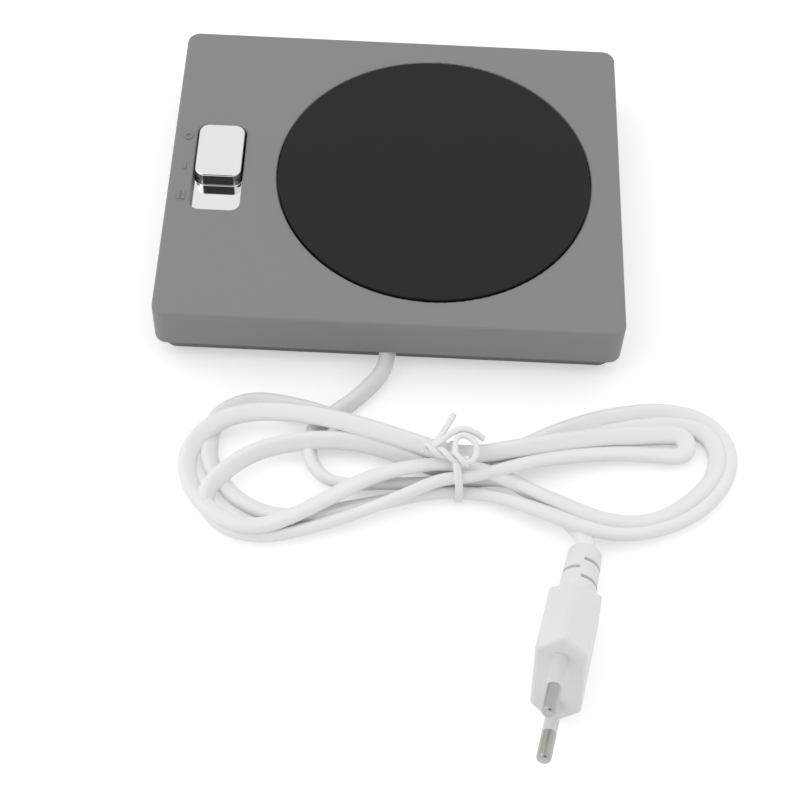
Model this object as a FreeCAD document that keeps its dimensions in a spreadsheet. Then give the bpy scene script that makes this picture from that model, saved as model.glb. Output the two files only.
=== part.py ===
import FreeCAD, Part
import Sketcher
import math
import os
import re

# Electric mug warmer: a flat case with a round warming plate, a three-position slide button at its
# left edge, and a flat lead that leaves at the front, is tied in a hank and ends in a two-pin plug.
# Millimetres. X runs along the long side, Y to the back, Z up; the feet stand on z = 0.

SIZES = {
    # case
    "shell_length": 140.0,
    "shell_width": 116.0,
    "shell_corner": 4.0,
    "shell_wall": 2.2,
    "shell_roof": 2.4,
    "shell_side": 14.3,
    "shell_top": 21.0,
    "top_round": 0.9,
    "lip_round": 0.4,
    "cover_gap": 0.3,
    "cover_wall": 2.0,
    "cover_floor": 2.0,
    "cover_lap": 2.8,
    "foot_stand": 1.6,
    "foot_recess": 0.8,
    "foot_diameter": 12.0,
    "foot_inset": 18.0,
    "case_screw_inset": 9.5,
    "case_boss_diameter": 7.0,
    "case_screw_diameter": 3.0,
    "case_screw_length": 12.0,
    "screw_head_diameter": 5.4,
    "screw_head_height": 1.2,
    # warming plate and the stack under it
    "button_strip": 33.5,
    "plate_margin": 9.5,
    "plate_proud": 0.55,
    "plate_thickness": 2.0,
    "plate_gap": 0.4,
    "plate_edge_round": 0.3,
    "ledge_width": 3.5,
    "ledge_thickness": 1.5,
    "well_wall": 2.0,
    "seal_thickness": 0.6,
    "mica_thickness": 0.4,
    "ribbon_thickness": 0.3,
    "stack_clearance": 1.0,
    "ribbon_bore": 30.0,
    "ribbon_slot": 1.2,
    "retainer_thickness": 0.8,
    "boss_ledge_gap": 0.5,
    "plate_boss_diameter": 5.0,
    "plate_screw_diameter": 3.0,
    "plate_screw_bite": 0.8,
    "pan_head_height": 1.8,
    "element_pin_diameter": 1.6,
    "element_pin_length": 6.0,
    "lead_hole_diameter": 3.4,
    # thermostat and thermal fuse
    "thermostat_offset": 18.0,
    "thermostat_diameter": 15.6,
    "thermostat_cap_height": 1.2,
    "thermostat_body_height": 5.5,
    "thermostat_ear_span": 27.0,
    "thermostat_ear_width": 8.0,
    "thermostat_ear_thickness": 0.6,
    "thermostat_screw_pitch": 21.2,
    "terminal_tab_width": 5.0,
    "terminal_tab_thickness": 0.8,
    "terminal_tab_length": 13.0,
    "fuse_diameter": 4.0,
    "fuse_length": 11.0,
    "fuse_wall": 0.5,
    "fuse_lead_diameter": 1.0,
    "fuse_sleeve_length": 16.0,
    "clip_thickness": 0.5,
    "clip_width": 5.0,
    # slide button and its slot
    "slot_inset": 14.9,
    "slot_width": 15.4,
    "slot_length": 34.2,
    "slot_corner": 3.0,
    "opening_round": 0.5,
    "collar_wall": 1.5,
    "slide_travel": 12.2,
    "block_side_gap": 0.55,
    "block_length": 21.3,
    "block_corner": 3.2,
    "block_rise": 1.1,
    "block_round": 0.6,
    "block_foot_round": 0.4,
    "skirt_depth": 3.6,
    "skirt_thickness": 1.2,
    "skirt_cover": 1.2,
    "slide_gap": 0.3,
    "rail_width": 1.6,
    "guide_thickness": 1.5,
    "guide_screw_room": 4.0,
    "guide_screw_pitch": 12.0,
    "guide_boss_diameter": 6.0,
    "stem_width": 6.0,
    "stem_length": 8.0,
    # slide switch under the button
    "frame_thickness": 0.5,
    "frame_width": 13.0,
    "frame_length": 34.0,
    "frame_ear": 7.0,
    "base_thickness": 1.5,
    "base_height": 7.5,
    "contact_thickness": 0.3,
    "contact_pitch": 8.0,
    "contact_width": 3.0,
    "contact_length": 4.4,
    "tail_thickness": 0.6,
    "tail_width": 2.0,
    "tail_length": 4.4,
    "actuator_length": 13.0,
    "stub_width": 4.0,
    "stub_length": 5.0,
    "stub_reach": 3.7,
    "wiper_thickness": 0.4,
    "wiper_width": 3.0,
    "ball_diameter": 1.8,
    "spring_length": 2.9,
    "spring_wall": 0.35,
    "diode_diameter": 2.8,
    "diode_length": 6.0,
    "diode_lead_diameter": 0.8,
    # marks beside the slot
    "mark_inset": 4.4,
    "mark_height": 0.3,
    "mark_stroke": 0.9,
    "mark_ring_diameter": 2.8,
    "mark_ring_stroke": 0.6,
    "mark_bar_length": 3.2,
    "mark_bar_spread": 1.5,
    # lead, clamp and inner wires
    "cord_tube_diameter": 4.4,
    "notch_gap": 0.3,
    "exit_height": 4.4,
    "inner_cord_rise": 1.8,
    "inner_cord_length": 26.0,
    "clamp_setback": 16.0,
    "clamp_length": 20.0,
    "clamp_width": 6.0,
    "clamp_thickness": 2.0,
    "clamp_screw_pitch": 13.0,
    "clamp_boss_diameter": 5.0,
    "small_screw_diameter": 2.5,
    "core_diameter": 2.0,
    "crimp_diameter": 3.2,
    "crimp_length": 5.0,
    # hank and tie
    "hank_centre_x": 22.3,
    "hank_centre_y": -95.0,
    "hank_angle": 3.3,
    "hank_half_length": 79.0,
    "hank_lobe_half_width": 21.0,
    "hank_waist_half_width": 9.2,
    "hank_step": 5.1,
    "hank_waist_step": 5.4,
    "hank_layer_step": 4.9,
    "hank_lift": 1.0,
    "hank_end_run": 5.0,
    "tie_width": 2.3,
    "tie_thickness": 0.7,
    "tie_clearance": 0.15,
    "tie_knot_diameter": 2.8,
    "tie_knot_length": 12.0,
    "tie_tail_diameter": 1.4,
    "tie_tail_length": 22.0,
    # plug
    "plug_face_x": 48.3,
    "plug_face_y": -168.3,
    "plug_heading": -102.0,
    "plug_pitch": 14.2,
    "plug_lean": 4.3,
    "plug_span": 35.3,
    "plug_depth": 13.7,
    "plug_flat": 23.0,
    "plug_body_length": 28.0,
    "plug_waist_span": 17.0,
    "plug_waist_depth": 14.4,
    "plug_edge_round": 1.2,
    "relief_length": 19.0,
    "relief_root_diameter": 11.0,
    "relief_end_diameter": 9.6,
    "relief_slot_width": 1.1,
    "relief_slot_pitch": 3.4,
    "relief_slot_start": 0.4,
    "relief_core_diameter": 5.6,
    "relief_first_slot": 5.6,
    "plug_floor_gap": 0.2,
    "pin_diameter": 4.0,
    "pin_pitch": 18.6,
    "pin_length": 19.0,
    "pin_bare_length": 9.0,
    "pin_root": 6.0,
    "sleeve_wall": 0.25,
}

doc = FreeCAD.newDocument("mug_warmer")
sheet = doc.addObject("Spreadsheet::Sheet", "Sizes")
for row, (alias, number) in enumerate(SIZES.items(), start=1):
    sheet.set(f"A{row}", alias)
    sheet.set(f"B{row}", str(number))
    sheet.setAlias(f"B{row}", alias)
doc.recompute()
worked_out = {}


def formula(text):
    """A formula of size names, written so that it reads the sheet."""
    return re.sub(r"[a-z_]+", lambda word: "Sizes." + word[0] if word[0] in SIZES else word[0], text)


def value(text):
    """The number that a formula of size names gives now, worked out in a spare cell of the sheet."""
    if text not in worked_out:
        sheet.set("D1", "=" + text)
        sheet.recompute()
        worked_out[text] = float(sheet.get("D1"))
    return worked_out[text]


def bind(thing, prop, text):
    thing.setExpression(prop, formula(text))


def place(thing, x, y, z):
    for axis, text in (("x", x), ("y", y), ("z", z)):
        bind(thing, f"Placement.Base.{axis}", text)
    return thing


def block(name, x, y, bottom, length, width, height):
    """A box whose middle is at x, y, standing on its bottom height."""
    thing = doc.addObject("Part::Box", name)
    bind(thing, "Length", length)
    bind(thing, "Width", width)
    bind(thing, "Height", height)
    return place(thing, f"{x} - ({length}) / 2", f"{y} - ({width}) / 2", bottom)


def post(name, x, y, bottom, diameter, height):
    """An upright cylinder."""
    thing = doc.addObject("Part::Cylinder", name)
    bind(thing, "Radius", f"({diameter}) / 2")
    bind(thing, "Height", height)
    return place(thing, x, y, bottom)


def rod(name, start, direction, diameter, length):
    """A cylinder that runs from a start point along a direction."""
    thing = doc.addObject("Part::Cylinder", name)
    bind(thing, "Radius", f"({diameter}) / 2")
    bind(thing, "Height", length)
    thing.Placement.Rotation = FreeCAD.Rotation(FreeCAD.Vector(0, 0, 1), FreeCAD.Vector(*direction))
    return place(thing, *start)


def cut(name, base, *tools):
    """The base less the tools."""
    tool = tools[0] if len(tools) == 1 else join(name + "_tools", *tools)
    thing = doc.addObject("Part::Cut", name)
    thing.Base = base
    thing.Tool = tool
    return thing


def join(name, *parts):
    thing = doc.addObject("Part::MultiFuse", name)
    thing.Shapes = list(parts)
    thing.Refine = True
    return thing


def group(name, *parts):
    """Several separate solids under one name."""
    thing = doc.addObject("Part::Compound", name)
    thing.Links = list(parts)
    return thing


def origin_plane(body, role):
    return next(plane for plane in body.Origin.OriginFeatures if plane.Role == role)


def rounded_outline(body, name, length, width, corner):
    """A sketch of a rounded rectangle about the body's origin, its three sizes bound to the sheet."""
    sketch = body.newObject("Sketcher::SketchObject", name)
    sketch.AttachmentSupport = [(origin_plane(body, "XY_Plane"), "")]
    sketch.MapMode = "FlatFace"
    half_x, half_y, radius = value(length) / 2, value(width) / 2, value(corner)
    turns = [(1, -1), (1, 1), (-1, 1), (-1, -1)]
    centres = [FreeCAD.Vector(i * (half_x - radius), j * (half_y - radius), 0) for i, j in turns]
    up = FreeCAD.Vector(0, 0, 1)
    for index in range(4):
        outward = FreeCAD.Rotation(up, 90 * index - 90).multVec(FreeCAD.Vector(radius, 0, 0))
        side = Part.LineSegment(centres[index - 1] + outward, centres[index] + outward)
        sketch.addGeometry(side, False)
    for index in range(4):
        circle = Part.Circle(centres[index], up, radius)
        start = math.radians(90 * index - 90)
        sketch.addGeometry(Part.ArcOfCircle(circle, start, start + math.pi / 2), False)
    add = lambda *terms: sketch.addConstraint(Sketcher.Constraint(*terms))
    for index in range(4):
        add("Tangent", index, 2, 4 + index, 1)
        add("Tangent", 4 + index, 2, (index + 1) % 4, 1)
    for index in (0, 2):
        add("Horizontal", index)
    for index in (1, 3):
        add("Vertical", index)
    for index in (5, 6, 7):
        add("Equal", 4, index)
    add("Symmetric", 0, 1, 2, 1, -1, 1)
    named = (
        ("corner", ("Radius", 4, radius), corner),
        ("length", ("DistanceX", 3, 1, 1, 1, 2 * half_x), length),
        ("width", ("DistanceY", 0, 1, 2, 1, 2 * half_y), width),
    )
    for label, terms, text in named:
        sketch.renameConstraint(add(*terms), label)
        bind(sketch, f"Constraints.{label}", text)
    return sketch


def rounded_pad(name, x, y, bottom, length, width, corner, height):
    """A body padded up from a rounded rectangle."""
    body = doc.addObject("PartDesign::Body", name)
    sketch = rounded_outline(body, name + "_outline", length, width, corner)
    pad = body.newObject("PartDesign::Pad", name + "_pad")
    pad.Profile = sketch
    bind(pad, "Length", height)
    doc.recompute()
    return place(body, x, y, bottom)


def round_level(body, name, level, radius):
    """Round every edge of a body that lies wholly at one height above its own bottom."""
    base = body.Tip
    edges = [
        f"Edge{index}"
        for index, edge in enumerate(base.Shape.Edges, start=1)
        if all(abs(corner.z - value(level)) < 1e-6 for corner in edge.discretize(3))
    ]
    fillet = body.newObject("PartDesign::Fillet", name)
    fillet.Base = (base, edges)
    bind(fillet, "Radius", radius)
    body.Tip = fillet
    doc.recompute()
    return body


def round_where(name, base, radius, chosen):
    """Round the edges of a solid whose points are all chosen."""
    doc.recompute()
    rounded = doc.addObject("Part::Fillet", name)
    rounded.Base = base
    rounded.Edges = [
        (index, radius, radius)
        for index, edge in enumerate(base.Shape.Edges, start=1)
        if all(chosen(point) for point in edge.discretize(5))
    ]
    return rounded


def feature(name, shape):
    """A shape made by code rather than by a tool of its own."""
    thing = doc.addObject("Part::Feature", name)
    thing.Shape = shape
    return thing


def corners(reach_x, reach_y):
    """The four corner places of a rectangle, as formulas."""
    return [(f"{i} * ({reach_x})", f"{j} * ({reach_y})") for i in ("1", "-1") for j in ("1", "-1")]


# Heights shared by several pieces
LIP = "(shell_top - shell_side)"
ROOF_UNDER = "(shell_top - shell_roof)"
COVER_TOP = "(foot_stand + cover_floor)"
COVER_RIM = f"({LIP} + cover_lap)"
PLATE_TOP = "(shell_top + plate_proud)"
PLATE_UNDER = f"({PLATE_TOP} - plate_thickness)"
LEDGE_TOP = f"({PLATE_UNDER} - seal_thickness)"
LEDGE_UNDER = f"({LEDGE_TOP} - ledge_thickness)"
RETAINER_UNDER = f"({LEDGE_UNDER} - retainer_thickness)"
MICA_UPPER_UNDER = f"({PLATE_UNDER} - mica_thickness)"
RIBBON_UNDER = f"({MICA_UPPER_UNDER} - ribbon_thickness)"
MICA_LOWER_UNDER = f"({RIBBON_UNDER} - mica_thickness)"
SKIRT_TOP = "(shell_top - skirt_depth)"
SKIRT_UNDER = f"({SKIRT_TOP} - skirt_thickness)"
GUIDE_TOP = f"({SKIRT_UNDER} - slide_gap)"
GUIDE_UNDER = f"({GUIDE_TOP} - guide_thickness)"
FRAME_UNDER = f"({GUIDE_UNDER} - frame_thickness)"
BASE_TOP = "(base_height + base_thickness)"
CONTACT_TOP = f"({BASE_TOP} + contact_thickness)"
WIPER_UNDER = f"({CONTACT_TOP} + slide_gap)"
ACTUATOR_UNDER = f"({WIPER_UNDER} + wiper_thickness)"
ACTUATOR_TOP = f"({FRAME_UNDER} - slide_gap)"

# Plan sizes and places shared by several pieces: the button's strip lies at the case's left side, and the
# plate fills the length that is left; its bosses stand inside the ledge and the stack inside the bosses
PLATE_DIAMETER = "(shell_length - button_strip - plate_margin)"
PLATE_X = f"(shell_length / 2 - plate_margin - {PLATE_DIAMETER} / 2)"
BOSS_CIRCLE = f"({PLATE_DIAMETER} - 2 * ledge_width - 2 * boss_ledge_gap - plate_boss_diameter)"
STACK_DIAMETER = f"({BOSS_CIRCLE} - plate_boss_diameter - 2 * stack_clearance)"
SLOT_X = "(slot_inset - shell_length / 2)"
BUTTON_Y = "(slide_travel / 2)"
SKIRT_WIDTH = "(slot_width + 2 * collar_wall)"
SKIRT_LENGTH = "(slot_length + slide_travel + 2 * skirt_cover)"
SKIRT_REACH = f"(({SKIRT_LENGTH} + slide_travel) / 2)"
GUIDE_WIDTH = f"({SKIRT_WIDTH} + 2 * slide_gap + 2 * rail_width)"
GUIDE_SCREW_Y = f"({SKIRT_REACH} + guide_screw_room)"
GUIDE_LENGTH = f"(2 * {GUIDE_SCREW_Y} + guide_boss_diameter)"
CASE_SCREWS = corners("shell_length / 2 - case_screw_inset", "shell_width / 2 - case_screw_inset")
FEET = corners("shell_length / 2 - foot_inset", "shell_width / 2 - foot_inset")
GUIDE_SCREWS = [
    (f"{SLOT_X} + {i} * guide_screw_pitch / 2", f"{j} * {GUIDE_SCREW_Y}") for i in ("1", "-1") for j in ("1", "-1")
]
PLATE_SCREWS = [
    (f"{PLATE_X} + {i} * {BOSS_CIRCLE} / sqrt(8)", f"{j} * {BOSS_CIRCLE} / sqrt(8)")
    for i in ("1", "-1")
    for j in ("1", "-1")
]
THERMOSTAT_X = f"({PLATE_X} + thermostat_offset)"
THERMOSTAT_SCREWS = [(THERMOSTAT_X, f"{j} * thermostat_screw_pitch / 2") for j in ("1", "-1")]
ELEMENT_PINS = [(f"{PLATE_X} - ribbon_bore / 2 - 5", f"{j} * 6") for j in ("1", "-1")]
CLAMP_Y = "(-shell_width / 2 + clamp_setback)"
CLAMP_SCREWS = [(f"{i} * clamp_screw_pitch / 2", CLAMP_Y) for i in ("1", "-1")]
INNER_CORD_Z = "(exit_height + inner_cord_rise)"
CLAMP_UNDER = f"({INNER_CORD_Z} + cord_tube_diameter / 2)"


# Top shell: moulded case with the plate's well, the button's slot, screw bosses and raised marks
def build_top_shell():
    blank = rounded_pad("shell_blank", "0", "0", LIP, "shell_length", "shell_width", "shell_corner", "shell_side")
    round_level(blank, "shell_top_round", "shell_side", "top_round")
    round_level(blank, "shell_lip_round", "0", "lip_round")
    inner_length = "shell_length - 2 * shell_wall"
    inner_width = "shell_width - 2 * shell_wall"
    hollow = rounded_pad(
        "shell_hollow", "0", "0", LIP, inner_length, inner_width, "shell_corner - shell_wall + 1", "shell_side - shell_roof"
    )
    shell = cut("shell_walls", blank, hollow)
    opening = f"{PLATE_DIAMETER} + 2 * plate_gap"
    ledge_ring = post(
        "ledge_ring", PLATE_X, "0", LEDGE_UNDER, f"{opening} + 2 * well_wall", f"{ROOF_UNDER} - {LEDGE_UNDER} + 0.5"
    )
    collar = rounded_pad(
        "slot_collar",
        SLOT_X,
        "0",
        f"{SKIRT_TOP} + slide_gap",
        SKIRT_WIDTH,
        "slot_length + 2 * collar_wall",
        "slot_corner + collar_wall",
        f"{ROOF_UNDER} - {SKIRT_TOP} - slide_gap + 0.5",
    )
    case_bosses = [
        post(f"case_boss_{i}", x, y, COVER_TOP, "case_boss_diameter", f"{ROOF_UNDER} - {COVER_TOP} + 0.5")
        for i, (x, y) in enumerate(CASE_SCREWS)
    ]
    guide_bosses = [
        post(f"guide_boss_{i}", x, y, GUIDE_TOP, "guide_boss_diameter", f"{ROOF_UNDER} - {GUIDE_TOP} + 0.5")
        for i, (x, y) in enumerate(GUIDE_SCREWS)
    ]
    solid = join("shell_with_bosses", shell, ledge_ring, collar, *case_bosses, *guide_bosses)
    slot = rounded_pad(
        "slot_opening", SLOT_X, "0", SKIRT_TOP, "slot_width", "slot_length", "slot_corner", "skirt_depth + 1"
    )
    well = post("plate_well", PLATE_X, "0", LEDGE_TOP, opening, "shell_roof + 1")
    bore = post(
        "ledge_bore", PLATE_X, "0", f"{LEDGE_UNDER} - 1", f"{PLATE_DIAMETER} - 2 * ledge_width", "ledge_thickness + 2"
    )
    case_holes = [
        post(f"case_hole_{i}", x, y, f"{COVER_TOP} - 1", "case_screw_diameter", "case_screw_length + 1")
        for i, (x, y) in enumerate(CASE_SCREWS)
    ]
    guide_holes = [
        post(f"guide_hole_{i}", x, y, f"{GUIDE_TOP} - 1", "small_screw_diameter", f"{ROOF_UNDER} - {GUIDE_TOP} + 1")
        for i, (x, y) in enumerate(GUIDE_SCREWS)
    ]
    opened = cut("shell_opened", solid, slot, well, bore, *case_holes, *guide_holes)
    return join("top_shell", round_openings(opened), *build_marks())


def round_openings(shell):
    """Round the edges of the slot and of the plate's opening where they meet the flat top."""
    top = value("shell_top")
    reach_x, reach_y = value("shell_length / 2 - 2 * top_round"), value("shell_width / 2 - 2 * top_round")

    def on_top(point):
        return abs(point.z - top) < 1e-6 and abs(point.x) < reach_x and abs(point.y) < reach_y

    return round_where("shell_openings", shell, value("opening_round"), on_top)


# Raised marks: a ring for off, one bar for low and two bars for high, one detent step apart
def build_marks():
    mark_x = "(-shell_length / 2 + mark_inset)"
    sunk = "shell_top - 0.3"
    height = "mark_height + 0.3"
    ring = cut(
        "off_mark",
        post("off_mark_disc", mark_x, "slide_travel", sunk, "mark_ring_diameter", height),
        post("off_mark_bore", mark_x, "slide_travel", sunk, "mark_ring_diameter - 2 * mark_ring_stroke", height),
    )
    low = block("low_mark", mark_x, "0", sunk, "mark_stroke", "mark_bar_length", height)
    high = [
        block(f"high_mark_{i}", f"{mark_x} + {i} * mark_bar_spread / 2", "-slide_travel", sunk, "mark_stroke",
              "mark_bar_length", height)
        for i in ("1", "-1")
    ]
    return [ring, low, *high]


# Bottom cover: a tray inside the shell's skirt, with the lead's notch, foot recesses and clamp bosses
def build_bottom_cover():
    inset = "(shell_wall + cover_gap)"
    tray = rounded_pad(
        "tray_blank", "0", "0", "foot_stand", f"shell_length - 2 * {inset}", f"shell_width - 2 * {inset}", "shell_corner",
        f"{COVER_RIM} - foot_stand"
    )
    round_level(tray, "tray_under_round", "0", "lip_round")
    inside = f"({inset} + cover_wall)"
    hollow = rounded_pad(
        "tray_hollow", "0", "0", COVER_TOP, f"shell_length - 2 * {inside}", f"shell_width - 2 * {inside}",
        "shell_corner - cover_wall + 1", f"{COVER_RIM} - {COVER_TOP} + 1"
    )
    clamp_bosses = [
        post(f"clamp_boss_{i}", x, y, f"{COVER_TOP} - 0.5", "clamp_boss_diameter", f"{CLAMP_UNDER} - {COVER_TOP} + 0.5")
        for i, (x, y) in enumerate(CLAMP_SCREWS)
    ]
    body = join("tray_with_bosses", cut("tray_walls", tray, hollow), *clamp_bosses)
    notch_width = "(cord_tube_diameter + 2 * notch_gap)"
    notch_length = "(clamp_setback - clamp_width / 2)"
    notch = block(
        "lead_notch", "0", f"-shell_width / 2 + {notch_length} / 2", "foot_stand - 1", notch_width, notch_length,
        f"{LIP} - foot_stand + 1"
    )
    recesses = [
        post(f"foot_recess_{i}", x, y, "foot_stand - 1", "foot_diameter", "foot_recess + 1")
        for i, (x, y) in enumerate(FEET)
    ]
    screw_seats = [
        post(f"case_screw_seat_{i}", x, y, "foot_stand - 1", "screw_head_diameter", "screw_head_height + 1")
        for i, (x, y) in enumerate(CASE_SCREWS)
    ]
    screw_holes = [
        post(f"case_screw_way_{i}", x, y, "foot_stand", "case_screw_diameter", "cover_floor + 1")
        for i, (x, y) in enumerate(CASE_SCREWS)
    ]
    clamp_holes = [
        post(f"clamp_hole_{i}", x, y, COVER_TOP, "small_screw_diameter", f"{CLAMP_UNDER} - {COVER_TOP} + 1")
        for i, (x, y) in enumerate(CLAMP_SCREWS)
    ]
    return cut("bottom_cover", body, notch, *recesses, *screw_seats, *screw_holes, *clamp_holes)


# Rubber feet in their recesses
def build_feet():
    names = ("foot_rear_right", "foot_front_right", "foot_rear_left", "foot_front_left")
    return [
        post(name, x, y, "0", "foot_diameter", "foot_stand + foot_recess") for name, (x, y) in zip(names, FEET)
    ]


def screw(name, x, y, head_under, head_height, diameter, length):
    """A screw driven up from below: its head stands under the seat and its shank runs up from it."""
    head = post(name + "_head", x, y, head_under, "screw_head_diameter", head_height)
    shank = post(name + "_shank", x, y, f"{head_under} + {head_height} / 2", diameter, f"{length} + {head_height} / 2")
    return join(name, head, shank)


def screws(name, places, head_under, head_height, diameter, length):
    return group(
        name, *[screw(f"{name}_{i}", x, y, head_under, head_height, diameter, length) for i, (x, y) in enumerate(places)]
    )


def build_case_screws():
    length = f"(cover_floor - screw_head_height + case_screw_length - 1)"
    return screws("case_screws", CASE_SCREWS, "foot_stand", "screw_head_height", "case_screw_diameter", length)


# Warming plate: pressed disc with four tapped bosses under it
def build_heating_plate():
    body = doc.addObject("PartDesign::Body", "plate_disc")
    sketch = body.newObject("Sketcher::SketchObject", "plate_disc_outline")
    sketch.AttachmentSupport = [(origin_plane(body, "XY_Plane"), "")]
    sketch.MapMode = "FlatFace"
    radius = value(f"{PLATE_DIAMETER} / 2")
    sketch.addGeometry(Part.Circle(FreeCAD.Vector(), FreeCAD.Vector(0, 0, 1), radius), False)
    sketch.addConstraint(Sketcher.Constraint("Coincident", 0, 3, -1, 1))
    sketch.renameConstraint(sketch.addConstraint(Sketcher.Constraint("Diameter", 0, 2 * radius)), "diameter")
    bind(sketch, "Constraints.diameter", PLATE_DIAMETER)
    pad = body.newObject("PartDesign::Pad", "plate_disc_pad")
    pad.Profile = sketch
    bind(pad, "Length", "plate_thickness")
    doc.recompute()
    round_level(body, "plate_edge_round_top", "plate_thickness", "plate_edge_round")
    place(body, PLATE_X, "0", PLATE_UNDER)
    bosses = [
        post(f"plate_boss_{i}", x, y, LEDGE_UNDER, "plate_boss_diameter", f"{PLATE_UNDER} - {LEDGE_UNDER} + 0.5")
        for i, (x, y) in enumerate(PLATE_SCREWS)
    ]
    holes = [
        post(f"plate_hole_{i}", x, y, f"{LEDGE_UNDER} - 1", "plate_screw_diameter",
             f"{PLATE_UNDER} - {LEDGE_UNDER} + plate_screw_bite + 1")
        for i, (x, y) in enumerate(PLATE_SCREWS)
    ]
    return cut("heating_plate", join("plate_with_bosses", body, *bosses), *holes)


def disc(name, bottom, diameter, bore, height):
    """A ring about the plate's centre."""
    outer = post(name + "_disc", PLATE_X, "0", bottom, diameter, height)
    return cut(name, outer, post(name + "_bore", PLATE_X, "0", f"{bottom} - 1", bore, f"{height} + 2"))


def build_plate_seal():
    return disc("plate_seal", LEDGE_TOP, f"{PLATE_DIAMETER} - 0.4", f"{PLATE_DIAMETER} - 2 * ledge_width + 0.4", "seal_thickness")


def lead_holes(name, bottom, height):
    """Clear holes for the two pins of the heating element."""
    return [
        post(f"{name}_lead_hole_{i}", x, y, f"{bottom} - 1", "lead_hole_diameter", f"{height} + 2")
        for i, (x, y) in enumerate(ELEMENT_PINS)
    ]


# Mica sheets above and below the heating ribbon, and the felt pad that presses them up
def build_stack():
    upper = post("mica_upper", PLATE_X, "0", MICA_UPPER_UNDER, STACK_DIAMETER, "mica_thickness")
    lower_disc = post("mica_lower_disc", PLATE_X, "0", MICA_LOWER_UNDER, STACK_DIAMETER, "mica_thickness")
    lower = cut("mica_lower", lower_disc, *lead_holes("mica_lower", MICA_LOWER_UNDER, "mica_thickness"))
    pad_height = f"({MICA_LOWER_UNDER} - {LEDGE_UNDER})"
    pad_disc = post("insulation_disc", PLATE_X, "0", LEDGE_UNDER, STACK_DIAMETER, pad_height)
    pad = cut("insulation_pad", pad_disc, *lead_holes("insulation", LEDGE_UNDER, pad_height))
    return [upper, lower, pad]


# Heating element: an etched ribbon slotted from both sides by turns, with a pin at each end
def build_heating_element():
    band = disc("ribbon_band", RIBBON_UNDER, f"{STACK_DIAMETER} - 1", "ribbon_bore", "ribbon_thickness")
    slot_count = 20
    land = "4"
    reach = f"(({STACK_DIAMETER} - ribbon_bore) / 2)"
    slots = []
    for index in range(slot_count):
        angle = 360 * (index + 0.5) / slot_count
        start = f"ribbon_bore / 2 + {land}" if index % 2 else "ribbon_bore / 2 - 2"
        length = f"{reach} - {land} + 2"
        slots.append(ribbon_slot(f"ribbon_slot_{index}", angle, start, length))
    gap = ribbon_slot("ribbon_gap", 180, "ribbon_bore / 2 - 2", f"{reach} + 4")
    pins = [
        post(f"element_pin_{i}", x, y, f"{RIBBON_UNDER} - element_pin_length", "element_pin_diameter",
             "element_pin_length + ribbon_thickness")
        for i, (x, y) in enumerate(ELEMENT_PINS)
    ]
    return join("heating_element", cut("ribbon", band, *slots, gap), *pins)


def ribbon_slot(name, angle, start, length):
    """A radial cut through the ribbon, from a distance off the plate's centre outward."""
    thing = doc.addObject("Part::Box", name)
    bind(thing, "Length", length)
    bind(thing, "Width", "ribbon_slot")
    bind(thing, "Height", "ribbon_thickness + 2")
    thing.Placement.Rotation = FreeCAD.Rotation(FreeCAD.Vector(0, 0, 1), angle)
    across, along = math.sin(math.radians(angle)), math.cos(math.radians(angle))
    return place(
        thing,
        f"{PLATE_X} + {along:.6f} * ({start}) + {across:.6f} * ribbon_slot / 2",
        f"{across:.6f} * ({start}) - {along:.6f} * ribbon_slot / 2",
        f"{RIBBON_UNDER} - 1",
    )


# Retaining plate: steel disc that clamps the stack and the shell's ledge from below
def build_retaining_plate():
    plate = post("retaining_disc", PLATE_X, "0", RETAINER_UNDER, f"{PLATE_DIAMETER} - 1", "retainer_thickness")
    holes = [
        post(f"retaining_hole_{i}", x, y, f"{RETAINER_UNDER} - 1", "plate_screw_diameter", "retainer_thickness + 2")
        for i, (x, y) in enumerate(PLATE_SCREWS + THERMOSTAT_SCREWS)
    ]
    return cut("retaining_plate", plate, *holes, *lead_holes("retaining", RETAINER_UNDER, "retainer_thickness"))


def build_plate_screws():
    length = f"({PLATE_UNDER} - {RETAINER_UNDER} + plate_screw_bite)"
    head_under = f"({RETAINER_UNDER} - pan_head_height)"
    return screws("plate_screws", PLATE_SCREWS, head_under, "pan_head_height", "plate_screw_diameter", length)


# Thermostat: aluminium cap with two ears against the retaining plate, phenolic body, two tabs
def build_thermostat():
    cap_under = f"({RETAINER_UNDER} - thermostat_cap_height)"
    cap = post("thermostat_dome", THERMOSTAT_X, "0", cap_under, "thermostat_diameter", "thermostat_cap_height")
    ear = block(
        "thermostat_ears", THERMOSTAT_X, "0", f"{RETAINER_UNDER} - thermostat_ear_thickness", "thermostat_ear_width",
        "thermostat_ear_span", "thermostat_ear_thickness"
    )
    holes = [
        post(f"thermostat_ear_hole_{i}", x, y, f"{cap_under}", "plate_screw_diameter", "thermostat_cap_height + 1")
        for i, (x, y) in enumerate(THERMOSTAT_SCREWS)
    ]
    cap = cut("thermostat_cap", join("thermostat_cap_blank", cap, ear), *holes)
    body_under = f"({cap_under} - thermostat_body_height)"
    body = post("thermostat_body", THERMOSTAT_X, "0", body_under, "thermostat_diameter - 0.6", "thermostat_body_height")
    tabs = [
        block(f"thermostat_tab_{j}", THERMOSTAT_X, f"{j} * (terminal_tab_length / 2 + 1)",
              f"{body_under} - terminal_tab_thickness", "terminal_tab_width", "terminal_tab_length",
              "terminal_tab_thickness")
        for j in ("1", "-1")
    ]
    head_under = f"({RETAINER_UNDER} - thermostat_ear_thickness - pan_head_height)"
    bolts = screws(
        "thermostat_screws", THERMOSTAT_SCREWS, head_under, "pan_head_height", "plate_screw_diameter",
        "(thermostat_ear_thickness + retainer_thickness)"
    )
    return [cap, body, group("thermostat_terminals", *tabs), bolts]


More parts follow.
